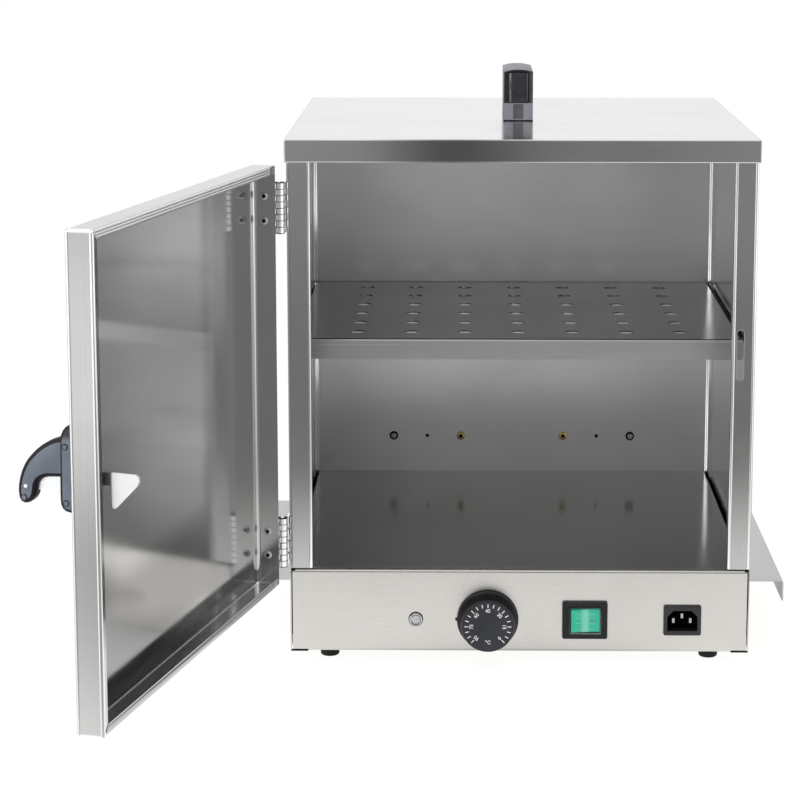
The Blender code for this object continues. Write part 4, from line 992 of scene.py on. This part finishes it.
def makeHinges():
    count, half = hingeLook["knuckles"], hingeLook["parting"] / 2
    ring = [(hingeLook["knuckle"] * wide, half * up) for wide, up in hingeLook["ring"]]
    for level in ("bottom", "top"):
        boxes = []
        for kind, body in (("door", "door"), ("frame", "cabinet")):
            node = "hinge_%s_%s_leaf" % (level, kind)
            boxes.append(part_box(node))
            leaf = dressed(node, "hinge" + level.title() + kind.title() + "Leaf", 0, hingeSteel)
            leaf.data.materials.append(holeDark)
            softenEdges(leaf, hingeLook["edge"], 1, math.radians(hingeLook["edgeAngle"]), material=1)
            finishPiece(leaf, body, [node], 30)
        x, y, _ = boxMiddle("hinge_%s_pin" % level)
        bottom, top = min(low[2] for low, high in boxes), max(high[2] for low, high in boxes)
        heights = [bottom + (top - bottom) * step / count for step in range(count + 1)]
        rings = [turned("ring", (x, y, z), upward, ring, holeDark, hingeLook["sides"]) for z in heights]
        finishPiece(joinPieces("hingePartings" + level.title(), rings), "cabinet", smooth=30)


makeHinges()
print("hinges made")

# blind rivets on the door's hinge wall: radius as a share of the head, and reach
rivetLook = {"profile": ((1, 0.0), (1, 0.0004), (0.93, 0.0009), (0.78, 0.0014), (0.6, 0.0017),
                         (0.46, 0.0017), (0.42, 0.0014), (0.40, 0.0002)),
             "proud": 0.0004, "hole": 0.3, "sides": 40}


def makeRivets():
    for level in ("bottom", "top"):
        for end in ("lower", "upper"):
            node = "hinge_door_rivet_%s_%s" % (level, end)
            low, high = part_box(node)
            radius = (high[2] - low[2]) / 2
            place = Vector(boxMiddle(node)) + doorAlong * rivetLook["proud"]
            profile = [(radius * share, reach) for share, reach in rivetLook["profile"]]
            name = "hingeRivet" + level.title() + end.title()
            rivet = turned(name, place, doorAlong, profile, screwSteel, rivetLook["sides"])
            # painted shade: the rivet's hole is a dark disc
            paintFaces(rivet, holeDark, lambda f: offAxis(f, place, doorAlong) < radius * rivetLook["hole"])
            finishPiece(rivet, "door", [node])


# heater screws on the rear liner: slotted steel ones with dark washers outside, hollow brass ones inside
heaterLook = {
    "outer": [(0.00412, -0.002), (0.00412, 0.0009), (0.0038, 0.0013), (0.0028, 0.0013), (0.0027, 0.0022),
              (0.0023, 0.0027), (0.0012, 0.0029)],
    "inner": [(0.0040, -0.002), (0.0040, 0.0008), (0.0036, 0.0016), (0.0026, 0.0020), (0.0017, 0.0020),
              (0.0015, 0.0015), (0.0014, 0.0002)],
    "washer": 0.00285, "bore": 0.0012, "slotHalf": 0.00035, "slotLong": 0.004, "slotFrom": 0.0020, "sides": 40}


def makeHeaterScrews():
    liner = frontOf("rear_liner")
    for side in ("left", "right"):
        for kind, finish, slot in (("outer", screwSteel, "bright_steel"), ("inner", screwBrass, "brass")):
            node = "heater_screw_%s_%s" % (side, kind)
            x, _, z = boxMiddle(node)
            place = (x, liner, z)
            name = "heaterScrew" + side.title() + kind.title()
            screw = turned(name, place, front, heaterLook[kind], finish, heaterLook["sides"])
            if kind == "outer":
                half, reach = heaterLook["slotHalf"], heaterLook["slotLong"]
                cutAway(screw, boxPiece("slot", (x - half, liner - 0.01, z - reach),
                                        (x + half, liner - heaterLook["slotFrom"], z + reach), holeDark))
                paintFaces(screw, holeDark, lambda f: offAxis(f, place, front) > heaterLook["washer"])
            else:
                # painted shade: the brass screw's bore is a dark disc
                paintFaces(screw, holeDark, lambda f: offAxis(f, place, front) < heaterLook["bore"])
            finishPiece(screw, "cabinet", [node])


# pan-head screws round the rear cover
rearLook = {"inset": 0.011, "rows": (0.03, 0.5, 0.97), "columns": (0.0, 0.5, 1.0),
            "profile": [(0.0037, -0.0002), (0.0037, 0.0005), (0.0034, 0.0011), (0.0027, 0.0014),
                        (0.0018, 0.0015), (0.0015, 0.0012), (0.0014, 0.0004)], "bore": 0.0012, "sides": 36}


def makeRearScrews():
    low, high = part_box("rear_cover")
    inset = rearLook["inset"]
    screws = []
    for across in rearLook["columns"]:
        for up in rearLook["rows"]:
            if across == 0.5 and up == 0.5:  # none in the middle
                continue
            x = low[0] + inset + (high[0] - low[0] - 2 * inset) * across
            place = (x, high[1], low[2] + (high[2] - low[2]) * up)
            screw = turned("screw", place, backward, rearLook["profile"], screwSteel, rearLook["sides"])
            # painted shade: the screw's recess is a dark disc
            paintFaces(screw, holeDark, lambda f: offAxis(f, place, backward) < rearLook["bore"])
            screws.append(screw)
    finishPiece(joinPieces("rearScrews", screws), "cabinet")


makeRivets()
makeHeaterScrews()
makeRearScrews()
print("fasteners made")

# folded corners: the liner's flanges on the side walls, each with two creases, and the bends inside the door
bendLook = {"sheet": 0.0012, "flange": 0.0005, "flangeDeep": 0.027, "flangeEnd": 0.0004, "overFloor": 0.0003,
            "underTop": 0.002, "crease": 0.0010, "creaseGap": 0.0005, "creaseRise": (0.0001, 0.0003),
            "creaseTilt": (20.5, 17), "doorRound": 0.0032, "doorEndRound": 0.6, "steps": 10}


def makeFlanges():
    wallLow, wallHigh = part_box("casing")
    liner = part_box("rear_liner")
    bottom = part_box("chamber_floor")[1][2] + bendLook["overFloor"]
    top = liner[1][2] - bendLook["underTop"]
    thick, deep, crease, gap = (bendLook[key] for key in ("flange", "flangeDeep", "crease", "creaseGap"))
    base, ledge = bendLook["creaseRise"]
    sides = (("Left", wallLow[0] + bendLook["sheet"], 1), ("Right", wallHigh[0] - bendLook["sheet"], -1))
    for (name, wall, way), tilt in zip(sides, bendLook["creaseTilt"]):
        across = Vector((way, 0, 0))
        corner = Vector((wall, liner[0][1], bottom))
        fall = crease * math.tan(math.radians(tilt))  # two narrow creases turned to the light
        steps = ((0, deep), (thick * 0.5, deep), (thick, deep - bendLook["flangeEnd"]),
                 (thick, 2 * fall + ledge), (thick + crease, fall + ledge), (thick + crease, fall + base),
                 (thick + crease + gap, fall + base), (thick + 2 * crease + gap, base),
                 (thick + 2 * crease + gap, 0))
        points = [corner] + [corner + across * aside + front * out for aside, out in steps]
        flange = outlined("linerFlange" + name, points, (0, 0, top - bottom), cornerSteel)
        paintFaces(flange, bendSteel, lambda f: 0.2 < f.normal.dot(across) < 0.5)
        finishPiece(flange, "cabinet", smooth=8)


def hollowBend(corner, first, second, radius, run):  # a hollow round between two walls that meet at the corner
    points = [corner]
    for step in range(bendLook["steps"] + 1):
        angle = math.pi / 2 * step / bendLook["steps"]
        aside, out = radius * (1 - math.sin(angle)), radius * (1 - math.cos(angle))
        points.append(corner + first * aside + second * out)
    return outlined("bend", points, run, doorSteel)


def makeDoorBends():
    low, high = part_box("door_pan")
    sheet, radius = bendLook["sheet"], bendLook["doorRound"]
    hinge, free = doorHinge + sheet, doorFree - sheet
    bottom, top = low[2] + sheet, high[2] - sheet
    onSkin = doorOut * (doorSkin + sheet)
    endRadius = radius * bendLook["doorEndRound"]
    strips = []
    for along, way in ((hinge, doorAlong), (free, -doorAlong)):
        corner = doorAlong * along + onSkin + upward * bottom
        strips.append(hollowBend(corner, way, doorOut, radius, (0, 0, top - bottom)))
    for z, way in ((bottom, upward), (top, -upward)):
        corner = doorAlong * hinge + onSkin + upward * z
        strips.append(hollowBend(corner, way, doorOut, endRadius, doorAlong * (free - hinge)))
    finishPiece(joinPieces("doorBends", strips), "door", smooth=35)


# rounded fold edges that catch the light
beadLook = {"jamb": 0.019, "jambRound": 0.0018, "jambProud": 0.0003, "overPanel": 0.0012, "doorRound": 0.0018,
            "doorProud": 0.00025, "steps": 14}


# the corner of two faces, the run along it, and the faces' normals
def edgeBead(corner, run, first, second, radius, proud):
    centre = corner - (first + second) * (radius - proud)
    lean = math.acos(1 - proud / radius)
    points = []
    for step in range(beadLook["steps"] + 1):
        turn = -lean + (math.pi / 2 + 2 * lean) * step / beadLook["steps"]
        points.append(centre + first * (radius * math.cos(turn)) + second * (radius * math.sin(turn)))
    return outlined("bead", points + [centre], run, bendSteel)


def makeBeads():
    low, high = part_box("casing")
    bottom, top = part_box("control_panel")[1][2] + beadLook["overPanel"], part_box("lid_cover")[0][2]
    inner = beadLook["jamb"]
    jambs = [edgeBead(Vector((x, low[1], bottom)), upward * (top - bottom), front, side,
                      beadLook["jambRound"], beadLook["jambProud"])
             for x, side in ((low[0] + inner, rightward), (high[0] - inner, -rightward), (high[0], rightward))]
    finishPiece(joinPieces("jambBeads", jambs), "cabinet", smooth=35)
    low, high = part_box("door_pan")
    size, proud = beadLook["doorRound"], beadLook["doorProud"]
    foot, head = doorAlong * doorFree + upward * low[2], doorAlong * doorFree + upward * high[2]
    edges = [edgeBead(foot + doorOut * out, head - foot, doorAlong, side, size, proud)
             for out, side in ((doorSkin, -doorOut), (doorLip, doorOut))]
    depth = doorOut * (doorLip - doorSkin)
    edges.append(edgeBead(head + doorOut * doorSkin, depth, doorAlong, upward, size, proud))
    finishPiece(joinPieces("doorBeads", edges), "door", smooth=35)


# the door's lips: low folds along the top and the bottom, mitred at the free corner; the top one is painted
# pale as lit and the bottom one dim as shaded
lipLook = {"wide": 0.007, "long": 0.366, "rise": 0.0007, "sunk": 0.0002, "margin": 0.06, "cover": 0.9,
           "foldSteps": 6, "topFolds": 3, "bottomFolds": 1, "mitre": 0.001}


def makeLips():
    low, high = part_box("door_pan")
    wide, reach = lipLook["wide"], lipLook["long"]
    for name, edge, way, finish, folds in (("Top", high[2], -1, lipPaintedLight, lipLook["topFolds"]),
                                           ("Bottom", low[2], 1, lipPaintedShade, lipLook["bottomFolds"])):
        start = doorAlong * (doorFree - reach) + upward * edge
        count = lipLook["foldSteps"] * folds
        points = []
        for step in range(count + 1):
            share = lipLook["margin"] + lipLook["cover"] * step / count
            rise = lipLook["rise"] * abs(math.sin(math.pi * step / lipLook["foldSteps"]))
            points.append(start + upward * (way * wide * share) + doorOut * (doorLip + rise - lipLook["sunk"]))
        lip = outlined("doorLip" + name, points, doorAlong * reach, finish)
        for point in lip.data.vertices:
            if point.co.dot(doorAlong) > doorFree - lipLook["mitre"]:
                point.co -= doorAlong * abs(point.co.z - edge)
        finishPiece(lip, "door", smooth=35)


# bright rim of the latch slot, found by its place on the right jamb
slotLook = {"rim": 0.0006, "fromRight": (0.017, 0.003), "heights": (0.2, 0.3), "proud": 0.00012,
            "thick": 0.0005, "steps": 12}


def makeSlotRim():
    low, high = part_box("casing")
    face = low[1]
    left, right = (high[0] - away for away in slotLook["fromRight"])
    bottom, top = slotLook["heights"]
    edge = [point.co for point in nodes["casing"].data.vertices
            if abs(point.co.y - face) < 0.0002 and left < point.co.x < right and bottom < point.co.z < top]
    x0, x1 = min(point.x for point in edge), max(point.x for point in edge)
    z0, z1 = min(point.z for point in edge), max(point.z for point in edge)
    middle, half = (x0 + x1) / 2, (x1 - x0) / 2
    turns = [math.pi * step / slotLook["steps"] for step in range(slotLook["steps"] + 1)]

    def ring(grow, y):
        size = half + grow
        return [Vector((middle + way * size * math.cos(turn), y, level + way * size * math.sin(turn)))
                for way, level in ((1, z1 - half), (-1, z0 + half)) for turn in turns]

    edgeRing = ring(slotLook["rim"], face - slotLook["proud"])
    rim = outlined("slotRim", edgeRing, (0, slotLook["thick"], 0), bendSteel)
    cutAway(rim, outlined("hole", ring(0.00002, face - 0.002), (0, 0.006, 0), bendSteel))
    finishPiece(rim, "cabinet", smooth=30)


# the shelf's fold line on its front flange, and a painted shadow strip along its right side, for the gap there
shelfLook = {"foldIn": 0.003, "foldLow": 0.0056, "foldHigh": 0.0049, "foldDeep": 0.0004, "proud": 0.00006,
             "gapWide": 0.0024, "gapFront": 0.004, "gapBack": 0.001, "gapDeep": 0.0004, "edge": 0.00004}


def makeShelfLines():
    low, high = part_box("shelf")
    proud, foldIn = shelfLook["proud"], shelfLook["foldIn"]
    foldStart = (low[0] + foldIn, low[1] - proud, high[2] - shelfLook["foldLow"])
    foldEnd = (high[0] - foldIn, low[1] + shelfLook["foldDeep"], high[2] - shelfLook["foldHigh"])
    fold = boxPiece("shelfFold", foldStart, foldEnd, baseSteel)
    gapStart = (high[0] - shelfLook["gapWide"], low[1] + shelfLook["gapFront"], high[2] - shelfLook["gapDeep"])
    gapEnd = (high[0], high[1] - shelfLook["gapBack"], high[2] + proud)
    gap = boxPiece("shelfGapShadow", gapStart, gapEnd, holeDark)
    for line in (fold, gap):
        softenEdges(line, shelfLook["edge"], 1)
        finishPiece(line, "shelf")


makeFlanges()
makeDoorBends()
makeBeads()
makeLips()
makeSlotRim()
makeShelfLines()
print("folds made")

# dark reliefs at the panel's corners, painted shade in the gaps there: where each starts and ends along the
# panel, into it and up
reliefLook = {"slot": (0.0003, 0.0148), "slotDeep": (0.0001, 0.004), "slotUp": (-0.0003, 0.0004),
              "notch": (0.0012, 0.0044), "notchDeep": (-0.0001, 0.003), "notchUp": (-0.0012, 0.0008),
              "edge": 0.00015}


def makeReliefs():
    low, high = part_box("casing")
    panelLow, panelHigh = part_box("control_panel")
    parts = []
    for edge, way in ((low[0], 1), (high[0], -1)):
        for kind, level in (("slot", panelLow[2]), ("notch", panelHigh[2])):
            near, far = span(edge, way, *reliefLook[kind])
            outer, inner = (panelLow[1] + deep for deep in reliefLook[kind + "Deep"])
            bottom, top = (level + up for up in reliefLook[kind + "Up"])
            part = boxPiece(kind, (near, outer, bottom), (far, inner, top), holeDark)
            softenEdges(part, reliefLook["edge"], 1)
            parts.append(part)
    finishPiece(joinPieces("panelReliefs", parts), "cabinet")


# sensor holes between the heater screws: turned rims round dark discs painted as the holes' shade
sensorLook = {"profile": [(0.0019, -0.001), (0.0019, 0.0001), (0.0017, 0.0004), (0.0015, 0.0004),
                          (0.0014, 0.0001)], "hole": 0.00142, "sides": 32}


def makeSensors():
    liner = frontOf("rear_liner")
    for side in ("left", "right"):
        outer, inner = (boxMiddle("heater_screw_%s_%s" % (side, kind)) for kind in ("outer", "inner"))
        place = ((outer[0] + inner[0]) / 2, liner, outer[2])
        name = "sensor" + side.title()
        hole = turned(name, place, front, sensorLook["profile"], screwSteel, sensorLook["sides"])
        paintFaces(hole, holeDark, lambda f: offAxis(f, place, front) < sensorLook["hole"])
        finishPiece(hole, "cabinet")


# power inlet with its recess painted darker as shade
inletLook = {"edge": 0.0005, "shadeFrom": 0.0016}


def makeInlet():
    inlet = dressed("power_inlet", "inletShell", inletLook["edge"], inletBlack, 2)
    dark = frontOf("power_inlet") + inletLook["shadeFrom"]
    paintFaces(inlet, holeDark, lambda f: f.center[1] > dark)
    finishPiece(inlet, "cabinet", ["power_inlet"])


makeReliefs()
makeSensors()
makeInlet()
print("reliefs made")

# rubber feet, turned with a soft lower edge: radius as a share of the foot's, and height
footLook = {"profile": ((0.84, 0.0), (0.93, 0.0004), (0.985, 0.0012), (1, 0.0024)), "sides": 48}


def makeFeet():
    for end in ("front", "rear"):
        for side in ("left", "right"):
            node = "foot_%s_%s" % (end, side)
            low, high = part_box(node)
            x, y, _ = boxMiddle(node)
            radius = (high[0] - low[0]) / 2
            profile = [(radius * share, up) for share, up in footLook["profile"]] + [(radius, high[2])]
            name = "foot" + end.title() + side.title()
            foot = turned(name, (x, y, 0), upward, profile, footRubber, footLook["sides"])
            finishPiece(foot, "cabinet", [node])


makeFeet()
print("feet made")

# stage: a pale floor in a pale studio, with the darker part of the room behind the camera
stageLook = {
    "floorFront": -2.4, "floorBack": 1.6, "floorSide": 1.9, "floorDrop": 0.0004,
    "paper": ((0.86, 0.86, 0.86), (0.90, 0.90, 0.90)), "glow": (1, 0.995, 0.985, 1),
    "seenLevel": 1.06, "seenShare": 0.9, "paleLevel": 1.25,
    "dimSpot": (0.02, -1.50), "dimWide": 1.25, "dimReach": (0.82, 1.28), "dimLevel": 0.25,
    "shadeSpot": (0.06, 0.19, 0), "shadeReach": (0.15, 0.28), "shadeLevel": 0.4,
    "asideReach": (0.33, 0.45), "asideFront": (-0.42, -0.30), "asideBack": (0.36, 0.50), "asideLevel": 0.46,
    "eyeLevel": (0.04, 0.12), "ceilingFrom": (0.32, 0.62), "ceiling": 1.0}
# brightness round the room by bearing, 0 straight at the camera: first under eye level, then over it
lowRing = (
    (-180, 0.9), (-150, 0.7), (-95, 0.6), (-82, 1.4), (-72, 2.5), (-60, 1.4), (-36, 0.96), (-20, 0.68),
    (-10, 0.58), (-4, 0.51), (1, 0.26), (4, 0.26), (7, 0.48), (20, 0.36), (36, 0.33), (50, 0.50), (61, 1.4),
    (72, 2.5), (82, 1.4), (95, 0.6), (150, 0.7), (180, 0.9))
highRing = (
    (-180, 1.0), (-162, 0.95), (-150, 0.7), (-95, 0.6), (-82, 1.4), (-72, 2.5), (-55, 2.50), (-36, 4.10),
    (-27, 2.40), (-18, 0.58), (-10, 0.34), (-4, 0.28), (1, 0.25), (4, 0.25), (7, 0.27), (20, 0.28), (36, 0.30),
    (50, 0.60), (61, 1.4), (72, 2.5), (82, 1.4), (95, 0.6), (150, 0.7), (162, 0.95), (180, 1.0))


# how bright the floor is in the metal's reflections: dim before the camera, with a shadow painted close to the
# cabinet
def floorLevel(tree, place):
    wide, spot = stageLook["dimWide"], stageLook["dimSpot"]
    narrow = addNode(tree, "ShaderNodeMapping")
    narrow.inputs["Scale"].default_value = (wide, 1, 1)
    tree.links.new(place, narrow.inputs["Vector"])
    ahead = measure(tree, "DISTANCE", narrow.outputs[0], (spot[0] * wide, spot[1], 0))
    level = rangeNode(tree, ahead, *stageLook["dimReach"], stageLook["dimLevel"], stageLook["paleLevel"], True)
    under = measure(tree, "DISTANCE", place, stageLook["shadeSpot"])
    shade = rangeNode(tree, under, *stageLook["shadeReach"], stageLook["shadeLevel"], 1.0, True)
    off = mathNode(tree, "ABSOLUTE", measure(tree, "DOT_PRODUCT", place, rightward))
    deep = measure(tree, "DOT_PRODUCT", place, backward)
    across = rangeNode(tree, off, *stageLook["asideReach"], smooth=True)
    behind = rangeNode(tree, deep, *stageLook["asideBack"], smooth=True)
    after = rangeNode(tree, deep, *stageLook["asideFront"], smooth=True)
    aside = mathNode(tree, "MULTIPLY", mathNode(tree, "MAXIMUM", across, behind), after)
    level = mathNode(tree, "MULTIPLY", level, shade)
    return mathNode(tree, "MULTIPLY", level, rangeNode(tree, aside, 0.0, 1.0, 1.0, stageLook["asideLevel"]))


def makeFloor():
    clearSelection()
    near, far, side = stageLook["floorFront"], stageLook["floorBack"], stageLook["floorSide"]
    bpy.ops.mesh.primitive_plane_add(size=1.0, location=(0, (near + far) / 2, -stageLook["floorDrop"]))
    floor = bpy.context.object
    floor.name = "studioFloor"
    floor.scale = (2 * side, far - near, 1)
    applyPlace(floor)
    material, tree, shader, place = newMaterial("studioPaper")
    fibre = rangeNode(tree, noiseNode(tree, place, Scale=260.0, Detail=3.0), 0.3, 0.7)
    tree.links.new(mixColour(tree, fibre, *stageLook["paper"]), shader.inputs["Base Color"])
    setIn(shader, Roughness=0.9)
    path = addNode(tree, "ShaderNodeLightPath")
    clear = mathNode(tree, "MAXIMUM", path.outputs["Is Camera Ray"], path.outputs["Is Transmission Ray"])
    seen = mathNode(tree, "MAXIMUM", clear, path.outputs["Is Glossy Ray"])
    white = setIn(addNode(tree, "ShaderNodeEmission"), Color=stageLook["glow"])
    level = blend(tree, clear, floorLevel(tree, place), stageLook["seenLevel"])
    tree.links.new(level, white.inputs["Strength"])
    mix = addNode(tree, "ShaderNodeMixShader")
    tree.links.new(mathNode(tree, "MULTIPLY", seen, stageLook["seenShare"]), mix.inputs[0])
    tree.links.new(shader.outputs[0], mix.inputs[1])
    tree.links.new(white.outputs[0], mix.inputs[2])
    tree.links.new(mix.outputs[0], tree.nodes["Material Output"].inputs["Surface"])
    floor.data.materials.append(material)


def makeWorld():
    world = bpy.data.worlds.new("paleStudio")
    world.use_nodes = True
    scene.world = world
    tree = world.node_tree
    parts = addNode(tree, "ShaderNodeSeparateXYZ")
    tree.links.new(addNode(tree, "ShaderNodeTexCoord").outputs["Generated"], parts.inputs[0])
    x, y, z = parts.outputs
    bearing = mathNode(tree, "ARCTAN2", x, mathNode(tree, "MULTIPLY", y, -1.0))
    turn = rangeNode(tree, bearing, -math.pi, math.pi)
    walls = []
    for levels in (lowRing, highRing):
        brightest = max(level for angle, level in levels)
        ring = rampNode(tree, turn, [((angle + 180) / 360, level / brightest) for angle, level in levels])
        walls.append(mathNode(tree, "MULTIPLY", ring, brightest))
    wall = blend(tree, rangeNode(tree, z, *stageLook["eyeLevel"], smooth=True), *walls)
    level = blend(tree, rangeNode(tree, z, *stageLook["ceilingFrom"], smooth=True), wall, stageLook["ceiling"])
    path = addNode(tree, "ShaderNodeLightPath")
    seen = mathNode(tree, "MAXIMUM", path.outputs["Is Camera Ray"], path.outputs["Is Transmission Ray"])
    background = setIn(tree.nodes["Background"], Color=(1, 1, 1, 1))
    tree.links.new(blend(tree, seen, level, 1.0), background.inputs["Strength"])


def aimed(name, data, place, direction):
    holder = bpy.data.objects.new(name, data)
    scene.collection.objects.link(holder)
    holder.location = place
    holder.rotation_euler = direction.to_track_quat("-Z", "Y").to_euler()
    return holder


# one large soft lamp
keyLook = {"place": (-0.9, -0.9, 1.9), "target": (0.0, 0.1, 0.25), "size": 1.2, "power": 8.0}


def makeKey():
    lamp = bpy.data.lights.new("softKey", "AREA")
    lamp.shape = "SQUARE"
    lamp.size = keyLook["size"]
    lamp.energy = keyLook["power"]
    aimed("softKey", lamp, keyLook["place"], Vector(keyLook["target"]) - Vector(keyLook["place"]))


# camera: the photograph's viewpoint
shotLook = {"sensor": 36.0, "lens": 111.12, "shift": (-0.0375, -0.125), "place": (0.01376, -1.97558, 0.6419),
            "direction": (-0.013177, 0.985544, -0.168902)}


def makeCamera():
    camera = bpy.data.cameras.new("shotCamera")
    camera.sensor_width = shotLook["sensor"]
    camera.lens = shotLook["lens"]
    camera.shift_x, camera.shift_y = shotLook["shift"]
    scene.camera = aimed("shotCamera", camera, shotLook["place"], Vector(shotLook["direction"]))


makeFloor()
makeWorld()
makeKey()
makeCamera()
scene.view_settings.view_transform = "Standard"
print("stage, lamp and camera set")
